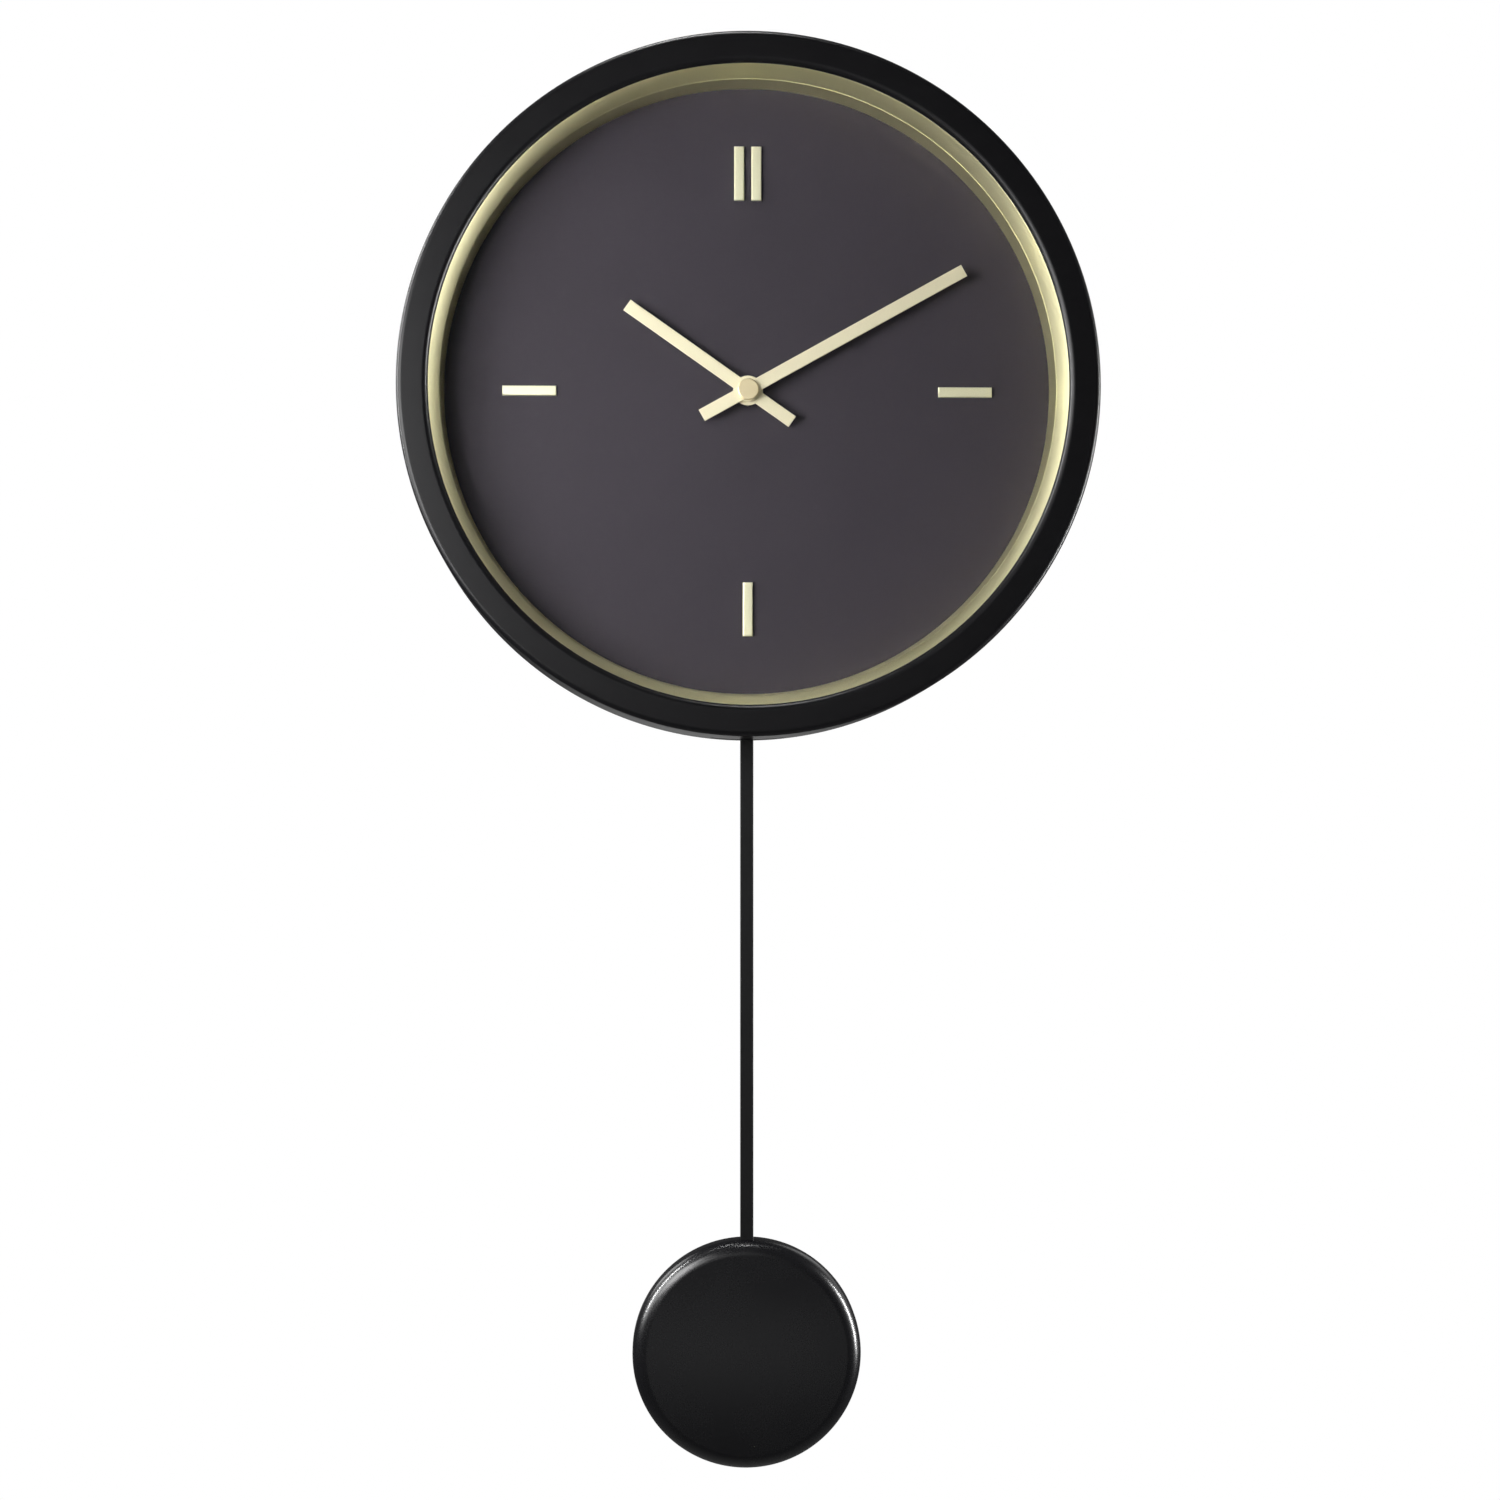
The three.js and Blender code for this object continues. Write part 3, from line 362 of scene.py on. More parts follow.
ring_profile += [(CONE_R + 0.8, FLANGE_FRONT + 1.2), (FLANGE_R, FLANGE_FRONT + 1.2)]
ring_profile += [(FLANGE_R, FLANGE_FRONT)]
ring = as_object(
    "gilt_reveal_ring",
    spun([(r * MM, depth(d)) for r, d in ring_profile], LARGE_STEPS),
)
gilt = spun_metal("gilt_anodised", (0.97, 0.93, 0.60), (0.92, 0.87, 0.53), 0.45, 1.0)
dress(ring, gilt, "case", "gilt", "reveal_ring")


# ---------------------------------------------------------------------------
# Dial: a disc of thin aluminium sprayed satin charcoal. The paint lies in a
# very fine orange peel with a little pearl in it. Punched in the middle for the
# movement's bushing, and glued to the foot of the reveal ring.
# ---------------------------------------------------------------------------
def sprayed(name, base, pearl, roughness, shine):
    """Spray paint: fine peel, faint flake and slow changes of tone."""
    material, shader, start = new_finish(name, base, roughness)
    shader.inputs["Specular IOR Level"].default_value = shine
    at = place(start)
    slow = speckle(start, at, 70 * MM, 3.0)
    peel = speckle(start, at, 0.5 * MM, 2.0, 0.5)
    flake = speckle(start, at, 0.09 * MM, 1.0, 0.8)
    drive(mixed(start, slow * 0.5 + flake ** 3.0 * 0.5, base, pearl), shader, "Base Color")
    drive(peel * 0.08 + slow * 0.08 + (roughness - 0.08), shader, "Roughness")
    drive(relief(start, peel, 0.12, 0.02 * MM), shader, "Normal")
    return material


dial_low, dial_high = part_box("dial_plate")
dial_r = (dial_high.x - dial_low.x) / 2
bush_r = 3.9 * MM
burr = 0.15 * MM
dial_profile = [
    (bush_r + burr, dial_low.y),
    (60 * MM, dial_low.y),
    (dial_r - burr, dial_low.y),
    (dial_r, dial_low.y + burr),
    (dial_r, dial_high.y),
    (bush_r, dial_high.y),
    (bush_r, dial_low.y + burr),
]
dial = as_object("charcoal_dial", spun(dial_profile, LARGE_STEPS))
dial_paint = sprayed("charcoal_paint", (0.045, 0.040, 0.048), (0.058, 0.051, 0.062), 0.46, shine=0.08)
dress(dial, dial_paint, "case", "dial", "dial_plate")


# ---------------------------------------------------------------------------
# Hour batons: five strips of pale gold metal, long-grain brushed, with their
# front edges diamond-milled to a narrow bright slope, glued to the dial.
# ---------------------------------------------------------------------------
def brushed(name, base, shade, roughness, along, line=0.12 * MM, metallic=1.0):
    """Metal brushed in one direction, along is the axis of the strokes as (x, y, z)."""
    material, shader, start = new_finish(name, base, roughness, metallic)
    at = place(start)
    squeeze = tuple(1.0 - 0.97 * abs(share) for share in along)
    lines = speckle(start, stretched(start, at, squeeze), line, 3.0, 0.6)
    slow = speckle(start, at, 12 * MM, 3.0)
    drive(mixed(start, lines * 0.7 + slow * 0.3, shade, base), shader, "Base Color")
    drive(lines * 0.16 + slow * 0.06 + (roughness - 0.11), shader, "Roughness")
    drive(relief(start, lines, 0.2, 0.01 * MM), shader, "Normal")
    return material


BATON_SLOPE = 0.45 * MM
BATON_GOLD, BATON_SHADE = (0.92, 0.90, 0.64), (0.86, 0.83, 0.57)
baton_gold_up = brushed("baton_gilt_upright", BATON_GOLD, BATON_SHADE, 0.44, (0, 0, 1), metallic=0.5)
baton_gold_across = brushed("baton_gilt_level", BATON_GOLD, BATON_SHADE, 0.44, (1, 0, 0), metallic=0.5)


def baton(node, material):
    low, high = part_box(node)
    mesh = block(high - low, (low + high) / 2)
    front = [e for e in mesh.edges if all(abs(v.co.y - low.y) < 1e-6 for v in e.verts)]
    bmesh.ops.bevel(mesh, geom=front, offset=BATON_SLOPE, segments=2, profile=0.6, affect="EDGES")
    soften(mesh, 0.08 * MM, 2, 60)
    dress(as_object(node + "_baton", mesh), material, "case", "gilt_marker", node)


for node in ("marker_12_left", "marker_12_right", "marker_6"):
    baton(node, baton_gold_up)
for node in ("marker_3", "marker_9"):
    baton(node, baton_gold_across)


# ---------------------------------------------------------------------------
# Hands and cap: blanked from thin aluminium, anodised gold and brushed along
# their length. Each is a straight bar with a short tail and a round boss. The
# hour hand presses on the pipe, the minute hand on the arbor under a turned cap.
# ---------------------------------------------------------------------------
MINUTES = 10.15
minute_angle = math.radians(6 * MINUTES)
hour_angle = math.radians(300 + 6 * MINUTES / 12)
HAND_HALF = 2.4 * MM


def filled(outlines, front, back, edge):
    """A flat part with holes: outlines of (x, z) points, the first one outside, given thickness."""
    mesh = bmesh.new()
    for outline in outlines:
        corners = [mesh.verts.new((x, back, z)) for x, z in outline]
        for first, second in zip(corners, corners[1:] + corners[:1]):
            mesh.edges.new((first, second))
    bmesh.ops.triangle_fill(mesh, use_beauty=True, use_dissolve=False, edges=mesh.edges)
    grown = bmesh.ops.extrude_face_region(mesh, geom=mesh.faces[:], use_keep_orig=True)
    moved = [g for g in grown["geom"] if isinstance(g, bmesh.types.BMVert)]
    bmesh.ops.translate(mesh, verts=moved, vec=(0, front - back, 0))
    bmesh.ops.recalc_face_normals(mesh, faces=mesh.faces)
    rims = []
    for e in mesh.edges:
        level = abs(e.verts[0].co.y - e.verts[1].co.y) < 1e-7
        if level and len(e.link_faces) == 2 and e.calc_face_angle() > 1.2:
            rims.append(e)
    bmesh.ops.bevel(mesh, geom=rims, offset=edge, segments=3, profile=0.5, affect="EDGES")
    return mesh


def circle(radius, centre=(0.0, 0.0), steps=48, start=0.0, end=360.0):
    points = []
    closed = abs(end - start) >= 360
    count = steps if closed else steps + 1
    for i in range(count):
        angle = math.radians(start + (end - start) * i / steps)
        points.append((centre[0] + radius * math.cos(angle), centre[1] + radius * math.sin(angle)))
    return points


def hand_outline(reach, tail, boss):
    """A bar that points up, with a round boss about the origin."""
    meet = math.degrees(math.asin(HAND_HALF / boss))
    right = circle(boss, steps=20, start=-90 + meet, end=90 - meet)
    left = circle(boss, steps=20, start=90 + meet, end=270 - meet)
    top = [(HAND_HALF, reach), (-HAND_HALF, reach)]
    foot = [(-HAND_HALF, -tail), (HAND_HALF, -tail)]
    return right + top + left + foot


def clock_hand(name, node, body, reach, tail, boss, bore, angle):
    low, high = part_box(node)
    outlines = [hand_outline(reach * MM, tail * MM, boss * MM), circle(bore * MM, steps=32)]
    mesh = filled(outlines, low.y, high.y, 0.16 * MM)
    turn = Matrix.Translation((DIAL_X, 0, DIAL_Z)) @ Matrix.Rotation(angle, 4, "Y")
    mesh.transform(turn)
    strokes = (math.sin(angle), 0, math.cos(angle))
    material = hand_gold(name + "_gilt", strokes)
    dress(as_object(name, mesh), material, body, "hand_gilt", node)


def hand_gold(name, strokes):
    """Warm gold brushed along the hand, whatever way the hand points."""
    base, shade = (0.98, 0.91, 0.65), (0.94, 0.87, 0.60)
    material, shader, start = new_finish(name, base, 0.42, 0.45)
    at = place(start)
    across = (strokes[2], 0.0, -strokes[0])
    run = start.add("ShaderNodeVectorMath", {"operation": "DOT_PRODUCT"}, {0: at, 1: strokes}, out="Value")
    side = start.add("ShaderNodeVectorMath", {"operation": "DOT_PRODUCT"}, {0: at, 1: across}, out="Value")
    track = start.add("ShaderNodeCombineXYZ", None, {"X": side, "Y": run * 0.02, "Z": 0.0})
    lines = speckle(start, track, 0.11 * MM, 3.0, 0.6)
    slow = speckle(start, at, 10 * MM, 3.0)
    drive(mixed(start, lines * 0.7 + slow * 0.3, shade, base), shader, "Base Color")
    drive(lines * 0.16 + slow * 0.08 + 0.3, shader, "Roughness")
    drive(relief(start, lines, 0.2, 0.01 * MM), shader, "Normal")
    return material


clock_hand("baton_hour_hand", "hour_hand", "hour_pipe", 55.5, 20.3, 5.6, 2.68, hour_angle)
clock_hand("baton_minute_hand", "minute_hand", "minute_shaft", 92.9, 19.9, 4.4, 1.58, minute_angle)

cap_low, cap_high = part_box("hand_cap")
cap_r = (cap_high.x - cap_low.x) / 2 / MM
cap_front = (cap_low.y - FRONT_Y) / MM
cap_back = (cap_high.y - FRONT_Y) / MM
cap_profile = [(0.0, cap_front), (cap_r - 0.55, cap_front)]
cap_profile += arc((cap_r - 0.5, cap_front + 0.5), 0.5, -90, 0, 6)
cap_profile += [(cap_r, cap_back - 0.1), (cap_r - 0.1, cap_back), (0.0, cap_back)]
cap = as_object("turned_cap", spun([(r * MM, depth(d)) for r, d in cap_profile], 64))
cap_gold = spun_metal("cap_gilt", (0.94, 0.82, 0.52), (0.88, 0.75, 0.46), 0.4, 0.7)
dress(cap, cap_gold, "minute_shaft", "hand_gilt", "hand_cap")


# ---------------------------------------------------------------------------
# Movement works: what the housing hides. Acetal wheels, a brass centre wheel,
# steel arbors, a laminated stator with its coil, and the swing lever with its
# magnet. The solids are already the right shape, so each takes its own finish.
# ---------------------------------------------------------------------------
def refinish(material, *nodes):
    for node in nodes:
        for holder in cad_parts[node].material_slots:
            holder.material = material


acetal = moulded("natural_acetal", (0.72, 0.70, 0.63), 0.42, 0.4 * MM, 0.12, 0.05)
knob_grey = moulded("knob_grey", (0.26, 0.26, 0.27), 0.45, 0.3 * MM, 0.2, 0.08)
housing_black = moulded("housing_black", (0.016, 0.016, 0.018), 0.5, 0.35 * MM, 0.35, 0.16)
board_green = moulded("solder_mask", (0.012, 0.085, 0.035), 0.3, 0.6 * MM, 0.1, 0.08)
magnet_nickel = brushed("nickel_plate", (0.46, 0.45, 0.43), (0.36, 0.35, 0.34), 0.28, (1, 0, 0))
sheet_zinc = brushed("zinc_sheet", (0.62, 0.62, 0.60), (0.48, 0.48, 0.47), 0.36, (0, 0, 1), 0.2 * MM)
bright_steel = brushed("bright_steel", (0.60, 0.60, 0.61), (0.47, 0.47, 0.48), 0.3, (1, 0, 0))
turned_brass = brushed("turned_brass", (0.78, 0.60, 0.27), (0.62, 0.46, 0.19), 0.3, (1, 0, 0))


def wound_copper():
    """Fine enamelled wire laid side by side, with painted shade in the grooves between the turns."""
    material, shader, start = new_finish("enamelled_copper", (0.62, 0.25, 0.10), 0.32, 1.0)
    at = place(start)
    settings = {"wave_type": "BANDS", "bands_direction": "X", "wave_profile": "SIN"}
    turns = start.add(
        "ShaderNodeTexWave",
        settings,
        {"Vector": at, "Scale": 1.0 / (1.3 * MM), "Distortion": 0.3, "Detail": 1.0},
        out=1,
    )
    # Painted shade: the colour goes dark in the grooves between turns and stays copper on their crests.
    drive(mixed(start, turns, (0.30, 0.10, 0.04), (0.70, 0.30, 0.13)), shader, "Base Color")
    drive(turns * 0.1 + 0.26, shader, "Roughness")
    drive(relief(start, turns, 0.5, 0.05 * MM), shader, "Normal")
    return material


copper = wound_copper()
pad_rubber = moulded("pad_rubber", (0.018, 0.018, 0.018), 0.75, 0.5 * MM, 0.5, 0.2)
refinish(
    acetal,
    "hour_wheel",
    "motion_wheel",
    "third_wheel",
    "seconds_wheel",
    "intermediate_wheel",
    "rotor_pinion",
    "coil_bobbin",
    "swing_lever",
)
refinish(turned_brass, "centre_wheel", "threaded_bushing", "clamp_nut")
refinish(bright_steel, "minute_arbor", "pendulum_pivot_pin", "bob_weight", "quartz_crystal")
refinish(bright_steel, "ring_screw_1", "ring_screw_2", "ring_screw_3")
refinish(sheet_zinc, "stator_core", "coil_core", "negative_contact", "battery_spring", "positive_contact")
refinish(magnet_nickel, "rotor_magnet", "lever_magnet")
refinish(copper, "coil_winding", "pendulum_coil")
refinish(board_green, "circuit_board")
refinish(pad_rubber, "rubber_washer")
refinish(housing_black, "rod_clamp", "movement_front")


# ---------------------------------------------------------------------------
# Back cover: a black moulded disc with a window for the movement and a pocket
# behind the keyhole, screwed to four pillars of the case. The visible edges are
# rounded and the flat carries a coarser grain than the front of the case.
# ---------------------------------------------------------------------------
def rounded_copy(name, node, width):
    """The solid's own shape with its sharp edges rounded."""
    mesh = bmesh.new()
    mesh.from_mesh(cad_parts[node].data)
    bmesh.ops.remove_doubles(mesh, verts=mesh.verts, dist=0.002 * MM)
    bmesh.ops.dissolve_limit(mesh, angle_limit=math.radians(0.5), verts=mesh.verts, edges=mesh.edges)
    soften(mesh, width, 2, 50.0)
    return as_object(name, mesh)


cover_black = moulded("back_cover_black", (0.02, 0.02, 0.021), 0.55, 0.7 * MM, 0.6, 0.2)
cover = rounded_copy("rear_cover", "back_cover", 0.3 * MM)
dress(cover, cover_black, "case", "cover_black", "back_cover")


def rounded_rectangle(left, right, bottom, top, corner, steps=8):
    points = circle(corner, (right - corner, top - corner), steps, 0, 90)
    points += circle(corner, (left + corner, top - corner), steps, 90, 180)
    points += circle(corner, (left + corner, bottom + corner), steps, 180, 270)
    points += circle(corner, (right - corner, bottom + corner), steps, 270, 360)
    return points


def keyhole_outline(entry, slot, drop, steps=20):
    """Round entry below, narrow slot above, its top end about the origin."""
    meet = math.degrees(math.asin(slot / entry))
    points = circle(slot, (0.0, 0.0), steps, 0, 180)
    points += circle(entry, (0.0, -drop), 2 * steps, 90 + meet, 450 - meet)
    return points


plate_low, plate_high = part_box("hanger_plate")
plate_outlines = [
    rounded_rectangle(plate_low.x, plate_high.x, plate_low.z, plate_high.z, 3 * MM),
    keyhole_outline(5 * MM, 2.5 * MM, 12 * MM),
]
screw_places = []
for node in ("hanger_screw_left", "hanger_screw_right"):
    low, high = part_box(node)
    screw_places.append(((low.x + high.x) / 2, (low.z + high.z) / 2))
    plate_outlines.append(circle(2.4 * MM, screw_places[-1], 32))
hanger = as_object(
    "keyhole_plate",
    filled(plate_outlines, plate_low.y, plate_high.y, 0.2 * MM),
)
dress(hanger, sheet_zinc, "case", "plated_steel", "hanger_plate")


# ---------------------------------------------------------------------------
# Screws: zinc-plated steel with rolled heads and pressed cross recesses. Pan
# heads hold the cover and the bob's clamp, flat heads sink into the hanger.
# ---------------------------------------------------------------------------
SHANK_SHARE = 0.42
RECESS_LENGTH, RECESS_WIDTH, RECESS_DEPTH = 1.25, 0.24, 1.4


def cross_screw(name, node, body, head, rise):
    """A screw whose head faces the wall: a domed or flat head with a cross recess cut in it."""
    low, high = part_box(node)
    centre = ((low.x + high.x) / 2, (low.z + high.z) / 2)
    top = high.y
    seat = top - rise
    shank = head * SHANK_SHARE
    profile = [(0.0, top), (head * 0.45, top)]
    profile += [(head * 0.8, top - rise * 0.28), (head * 0.97, top - rise * 0.62), (head, seat)]
    profile += [(shank, seat), (shank, low.y + shank), (0.0, low.y)]
    made = as_object(name, spun(profile, 40, centre))
    size = head * RECESS_LENGTH
    width = head * RECESS_WIDTH
    cross = block(Vector((size, rise * RECESS_DEPTH, width)), Vector((centre[0], top, centre[1])))
    carve(made, as_object(name + "_tool", soften(cross, head * 0.05, 1)))
    upright = block(Vector((width, rise * RECESS_DEPTH, size)), Vector((centre[0], top, centre[1])))
    carve(made, as_object(name + "_tool", soften(upright, head * 0.05, 1)))
    dress(made, bright_steel, body, "steel", node, crease=38)


for i in (1, 2, 3, 4):
    cross_screw(f"cover_fixing_{i}", f"cover_screw_{i}", "case", 2.7 * MM, 1.48 * MM)
for side in ("left", "right"):
    cross_screw(f"hanger_fixing_{side}", f"hanger_screw_{side}", "case", 2.1 * MM, 0.8 * MM)
cross_screw("bob_fixing", "clamp_screw", "pendulum", 2.0 * MM, 1.1 * MM)


# ---------------------------------------------------------------------------
# Wall pads: two black rubber discs, moulded with a rounded rim and a shallow
# dish, stuck to the cover so that the clock doesn't mark the wall.
# ---------------------------------------------------------------------------
for side in ("left", "right"):
    node = "wall_pad_" + side
    low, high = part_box(node)
    centre = ((low.x + high.x) / 2, (low.z + high.z) / 2)
    pad_r = (high.x - low.x) / 2
    rim = 0.5 * MM
    pad_profile = [(0.0, low.y), (pad_r, low.y)]
    pad_profile += arc((pad_r - rim, high.y - rim), rim, 0, 90, 5)
    pad_profile += [(pad_r * 0.7, high.y), (pad_r * 0.6, high.y - 0.2 * MM), (0.0, high.y - 0.2 * MM)]
    pad = as_object("rubber_pad_" + side, spun(pad_profile, 64, centre))
    dress(pad, pad_rubber, "case", "rubber", node)


# ---------------------------------------------------------------------------
# Movement housing, knob and cell: the black snap-together box seen in the back
# window, its ribbed grey setting knob, and an AA cell in a plain jacket held by
# a spring. The jacket carries bands of colour and no lettering.
# ---------------------------------------------------------------------------
housing = rounded_copy("movement_housing", "movement_back", 0.35 * MM)
dress(housing, housing_black, "case", "movement_black", "movement_back")

knob_low, knob_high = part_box("setting_knob")
knob_centre = Vector(((knob_low.x + knob_high.x) / 2, 0, (knob_low.z + knob_high.z) / 2))
KNOB_GRIPS = 24
KNOB_RIB = 0.22 * MM
POINTS_PER_GRIP = 8
DISH_R, DISH_DEPTH = 5.2, 0.7
knob_r = 6.95 * MM
knob_steps = KNOB_GRIPS * POINTS_PER_GRIP
knob_outline = []
for i in range(knob_steps):
    angle = 2 * math.pi * i / knob_steps
    radius = knob_r - KNOB_RIB * (1 - math.cos(KNOB_GRIPS * angle))
    across = knob_centre.x + radius * math.cos(angle)
    knob_outline.append((across, knob_centre.z + radius * math.sin(angle)))
knob = as_object("ribbed_knob", filled([knob_outline], knob_low.y, knob_high.y, 0.3 * MM))
dish = [(0.0, -DISH_DEPTH), (DISH_R - 0.6, -DISH_DEPTH), (DISH_R, -0.2), (DISH_R, 1.0), (0.0, 1.0)]
dish_profile = [(r * MM, knob_high.y + d * MM) for r, d in dish]
carve(knob, as_object("dish_tool", spun(dish_profile, 48, (knob_centre.x, knob_centre.z))))
dress(knob, knob_grey, "setting_shaft", "knob_grey", "setting_knob")


BAND_START = 12 * MM
BARE_ABOVE = 23.6 * MM
BARE_BELOW = -24.4 * MM


def cell_jacket():
    """Shrunk film over the can: a dark band, a copper-coloured band at the raised end, and bare ends."""
    material, shader, start = new_finish("cell_film", (0.03, 0.05, 0.09), 0.25)
    at = place(start)
    along = start.add("ShaderNodeSeparateXYZ", None, {0: at}, out="X")
    band = start.add("ShaderNodeMath", {"operation": "GREATER_THAN"}, {0: along, 1: BAND_START})
    ends = start.add("ShaderNodeMath", {"operation": "GREATER_THAN"}, {0: along, 1: BARE_ABOVE})
    tail = start.add("ShaderNodeMath", {"operation": "LESS_THAN"}, {0: along, 1: BARE_BELOW})
    bare = start.add("ShaderNodeMath", {"operation": "MAXIMUM"}, {0: ends, 1: tail})
    film = mixed(start, band, (0.02, 0.035, 0.07), (0.55, 0.27, 0.10))
    scuffs = speckle(start, stretched(start, at, (0.4, 1.0, 1.0)), 3 * MM, 5.0, 0.7)
    sockets = {0: bare, 6: film, 7: (0.60, 0.60, 0.58, 1.0)}
    drive(start.add("ShaderNodeMix", {"data_type": "RGBA"}, sockets, out=2), shader, "Base Color")
    metal = start.add("ShaderNodeMath", {"operation": "MAXIMUM"}, {0: bare, 1: band * 0.8})
    drive(metal, shader, "Metallic")
    drive(scuffs * 0.2 + 0.16, shader, "Roughness")
    return material


cell_low, cell_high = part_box("battery_cell")
cell_r = (cell_high.z - cell_low.z) / 2
cell_y = (cell_low.y + cell_high.y) / 2
cell_z = (cell_low.z + cell_high.z) / 2
shoulder = cell_high.x - 1.4 * MM
cell_profile = [(0.0, cell_low.x), (cell_r - 1.2 * MM, cell_low.x)]
cell_profile += arc((cell_r - 0.6 * MM, cell_low.x + 0.6 * MM), 0.6 * MM, -90, 0, 5)
cell_profile += arc((cell_r - 0.7 * MM, shoulder - 0.7 * MM), 0.7 * MM, 0, 90, 5)
cell_profile += [(5.6 * MM, shoulder), (5.4 * MM, shoulder - 0.3 * MM), (3.0 * MM, shoulder - 0.3 * MM)]
cell_profile += [(2.75 * MM, shoulder), (2.7 * MM, cell_high.x - 0.2 * MM)]
cell_profile += [(2.4 * MM, cell_high.x), (0.0, cell_high.x)]
cell_mesh = spun(cell_profile, 64, (0.0, 0.0))
# The spin runs front to back, so the can is laid down along X.
cell_mesh.transform(Matrix.Translation((0, cell_y, cell_z)) @ Matrix.Rotation(math.radians(-90), 4, "Z"))
cell = as_object("aa_cell", cell_mesh)
dress(cell, cell_jacket(), "battery", "cell_jacket", "battery_cell")


# ---------------------------------------------------------------------------
# Pendulum: a strip of black enamelled steel with an eye at the top, which hangs
# on the lever's peg, and a bob pressed from thin steel, rolled over a wide edge
# and enamelled semi-gloss black, closed at the back by a flat disc.
# ---------------------------------------------------------------------------
def enamel(name, base, roughness, depth, shine):
    """Stoved enamel: long soft ripple, faint dust and handling haze."""
    material, shader, start = new_finish(name, base, roughness)
    shader.inputs["Specular IOR Level"].default_value = shine
    at = place(start)
    ripple = speckle(start, at, 1.1 * MM, 2.0, 0.45)
    haze = speckle(start, at, 22 * MM, 5.0, 0.6)
    dust = speckle(start, at, 0.35 * MM, 2.0, 0.8) ** 6.0
    paler = tuple(channel * 1.7 + 0.002 for channel in base)
    drive(mixed(start, haze * 0.7 + dust * 0.3, base, paler), shader, "Base Color")
    drive(haze * 0.08 + ripple * 0.04 + (roughness - 0.06), shader, "Roughness")
    drive(relief(start, ripple, depth, 0.03 * MM), shader, "Normal")
    return material


rod_low, rod_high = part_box("pendulum_rod")
ROD_HALF = 2.5 * MM
EYE_R = 4.0 * MM
eye_z = rod_high.z - EYE_R
meet = math.degrees(math.asin(ROD_HALF / EYE_R))
rod_outline = circle(EYE_R, (DIAL_X, eye_z), 32, -90 + meet, 270 - meet)
rod_outline += [(DIAL_X - ROD_HALF, rod_low.z), (DIAL_X + ROD_HALF, rod_low.z)]
rod_outlines = [rod_outline, circle(1.7 * MM, (DIAL_X, eye_z), 24)]
rod = as_object("flat_rod", filled(rod_outlines, rod_low.y, rod_high.y, 0.3 * MM))
rod_black = enamel("rod_enamel", (0.003, 0.003, 0.0031), 0.45, depth=0.04, shine=0.2)
dress(rod, rod_black, "pendulum", "rod_black", "pendulum_rod")

bob_low, bob_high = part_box("bob_front")
BOB_X = (bob_low.x + bob_high.x) / 2
BOB_Z = (bob_low.z + bob_high.z) / 2
BOB_R = (bob_high.x - bob_low.x) / 2
BOB_EDGE = 6.0 * MM
BOB_WALL = 1.2 * MM
BOB_DOME = 1.2 * MM
BOB_FACE_R = BOB_R - BOB_EDGE
bob_corner = (BOB_FACE_R, bob_low.y + BOB_DOME + BOB_EDGE)


def domed(front):
    """Points from the middle of a face out to the start of its rounding."""
    return [(BOB_FACE_R * i / 12, front + BOB_DOME * (i / 12) ** 2) for i in range(12)]


bob_profile = domed(bob_low.y) + arc(bob_corner, BOB_EDGE, -90, 0, 20)
bob_profile += [(BOB_R, bob_high.y - 0.3 * MM), (BOB_R - 0.3 * MM, bob_high.y)]
bob_profile += [(BOB_R - BOB_WALL, bob_high.y)]
bob_profile += arc(bob_corner, BOB_EDGE - BOB_WALL, 0, -90, 10)
bob_profile += domed(bob_low.y + BOB_WALL)[::-1]
bob = as_object("pressed_bob", spun(bob_profile, 160, (BOB_X, BOB_Z)))
notch_front = rod_low.y - 0.25 * MM
notch_back = rod_high.y + 0.25 * MM
notch_size = Vector((2 * ROD_HALF + 0.5 * MM, notch_back - notch_front, 12 * MM))
notch_centre = Vector((BOB_X, (notch_front + notch_back) / 2, BOB_Z + BOB_R))
carve(bob, as_object("notch_tool", block(notch_size, notch_centre)))
bob_black = enamel("bob_enamel", (0.0016, 0.0016, 0.0022), 0.27, depth=0.008, shine=0.5)
dress(bob, bob_black, "pendulum", "bob_black", "bob_front")

disc_low, disc_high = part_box("bob_back")
disc_r = (disc_high.x - disc_low.x) / 2
hem = 0.35 * MM
disc_profile = [(0.0, disc_low.y), (disc_r, disc_low.y)]
disc_profile += arc((disc_r - hem, disc_high.y - hem), hem, 0, 90, 4)
disc_profile += [(disc_r * 0.86, disc_high.y), (disc_r * 0.84, disc_high.y - 0.3 * MM)]
disc_profile += [(disc_r * 0.8, disc_high.y - 0.3 * MM), (disc_r * 0.78, disc_high.y)]
disc_profile += [(0.0, disc_high.y)]
bob_disc = as_object("bob_closing_disc", spun(disc_profile, 128, (BOB_X, BOB_Z)))
dress(bob_disc, rod_black, "pendulum", "rod_black", "bob_back")


# ---------------------------------------------------------------------------
# Studio: a plain pale floor well below the clock, a pale surround, and soft
# boxes in front, at both sides, above and behind. The camera stands a metre off,
# level with the case's lower edge and a little left of the middle.
# ---------------------------------------------------------------------------
FLOOR_Z = -2.0
FLOOR_R = 3.2
floor_mesh = bmesh.new()
bmesh.ops.create_circle(floor_mesh, cap_ends=True, segments=96, radius=FLOOR_R)
bmesh.ops.translate(floor_mesh, verts=floor_mesh.verts, vec=(0, 0, FLOOR_Z))
floor = as_object("studio_floor", floor_mesh)
floor_pale = moulded("pale_floor", (0.5, 0.5, 0.5), 0.7, 3 * MM, 0.05, 0.05)
floor_shader = floor_pale.node_tree.nodes["Principled BSDF"]
floor_shader.inputs["Emission Strength"].default_value = 0.7
floor_start = Wire(floor_pale.node_tree)
glimpsed = floor_start.add("ShaderNodeLightPath", out="Is Camera Ray")
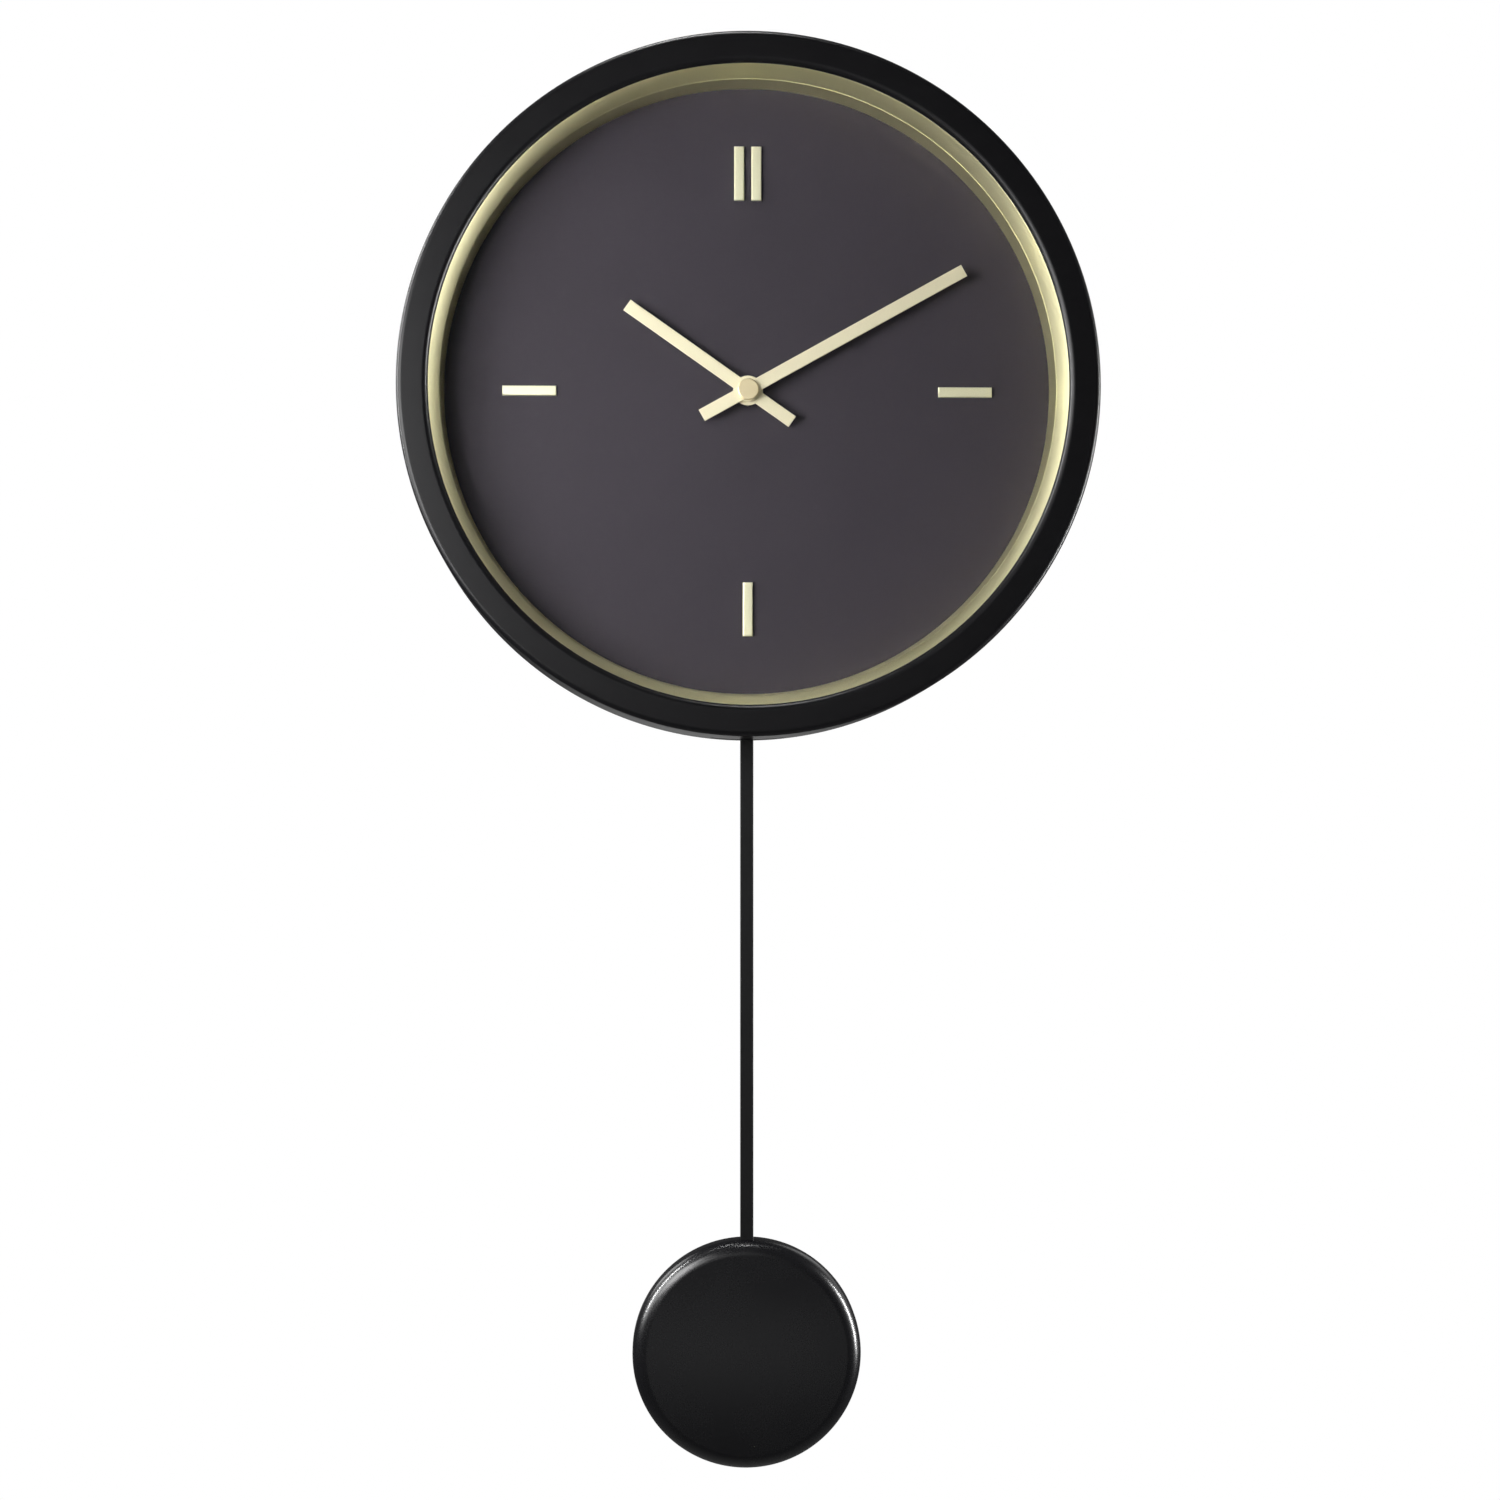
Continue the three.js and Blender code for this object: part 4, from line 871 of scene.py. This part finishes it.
drive(mixed(floor_start, glimpsed, (0.0, 0.0, 0.0), (1.0, 1.0, 1.0)), floor_shader, "Emission Color")
floor.data.materials.append(floor_pale)


def soft_box(name, place_at, target, width, height, power):
    light = bpy.data.lights.new(name, "AREA")
    light.shape = "RECTANGLE"
    light.size = width
    light.size_y = height
    light.energy = power
    made = bpy.data.objects.new(name, light)
    made.location = place_at
    made.rotation_euler = (Vector(target) - Vector(place_at)).to_track_quat("-Z", "Y").to_euler()
    made.visible_camera = False
    bpy.context.scene.collection.objects.link(made)


MIDDLE = (0.0, 0.0, DIAL_Z)
soft_box("left_box", (-0.37, -0.38, -0.11), MIDDLE, 0.28, 0.3, 3.6)
soft_box("left_front_box", (-0.4, -0.85, -0.08), MIDDLE, 0.25, 0.3, 1.6)
soft_box("left_mid_box", (-0.75, -0.24, -0.1), MIDDLE, 0.34, 0.5, 2.6)
soft_box("left_rake", (-0.9, -0.082, 0.14), MIDDLE, 0.04, 0.75, 15)
soft_box("right_rake", (0.95, -0.085, -0.26), MIDDLE, 0.04, 0.65, 19)
soft_box("top_rake", (-0.1, -0.082, 0.8), MIDDLE, 0.5, 0.04, 8)
soft_box("left_back_box", (-1.0, 0.75, 0.35), MIDDLE, 0.5, 0.7, 5)
soft_box("right_back_box", (1.1, 0.6, 0.1), MIDDLE, 0.4, 0.6, 0.8)
soft_box("back_box", (0.9, 1.2, 0.5), MIDDLE, 0.9, 0.9, 3)
soft_box("high_front_box", (-0.3, -1.6, 0.0), MIDDLE, 0.9, 0.6, 0.9)
soft_box("low_front_box", (0.0, -1.5, -0.76), (0, 0, -0.46), 0.8, 0.12, 0.3)

world = bpy.data.worlds.new("studio_air")
bpy.context.scene.world = world
world.use_nodes = True
air = Wire(world.node_tree)
background = world.node_tree.nodes["Background"]
direction = air.add("ShaderNodeTexCoord", out="Generated")
behind = Vector((0.0, 1.0, -0.12)).normalized()
toward_wall = air.add(
    "ShaderNodeVectorMath",
    {"operation": "DOT_PRODUCT"},
    {0: direction, 1: behind},
    out="Value",
)
wall_share = air.add(
    "ShaderNodeMapRange",
    {"clamp": True},
    {"Value": toward_wall, "From Min": 0.99, "From Max": 0.998, "To Min": 0.06, "To Max": 0.9},
)
seen = air.add("ShaderNodeLightPath", out="Is Camera Ray")
level = air.add("ShaderNodeMath", {"operation": "MAXIMUM"}, {0: wall_share, 1: seen})
world.node_tree.links.new(level.socket, background.inputs["Strength"])
background.inputs["Color"].default_value = (1.0, 1.0, 1.0, 1.0)

CAMERA_X, CAMERA_DROP, CAMERA_AWAY = -0.035, 0.135, 1.02
LENS_MM = 66.6
camera_data = bpy.data.cameras.new("camera")
camera_data.lens = LENS_MM
camera_data.sensor_width = 36.0
camera = bpy.data.objects.new("camera", camera_data)
camera.location = (CAMERA_X, FRONT_Y - CAMERA_AWAY, DIAL_Z - CAMERA_DROP)
yaw = math.atan2(DIAL_X - CAMERA_X, CAMERA_AWAY)
camera.rotation_euler = (math.radians(90), 0, -yaw)
bpy.context.scene.collection.objects.link(camera)
bpy.context.scene.camera = camera
bpy.context.scene.view_settings.view_transform = "Standard"
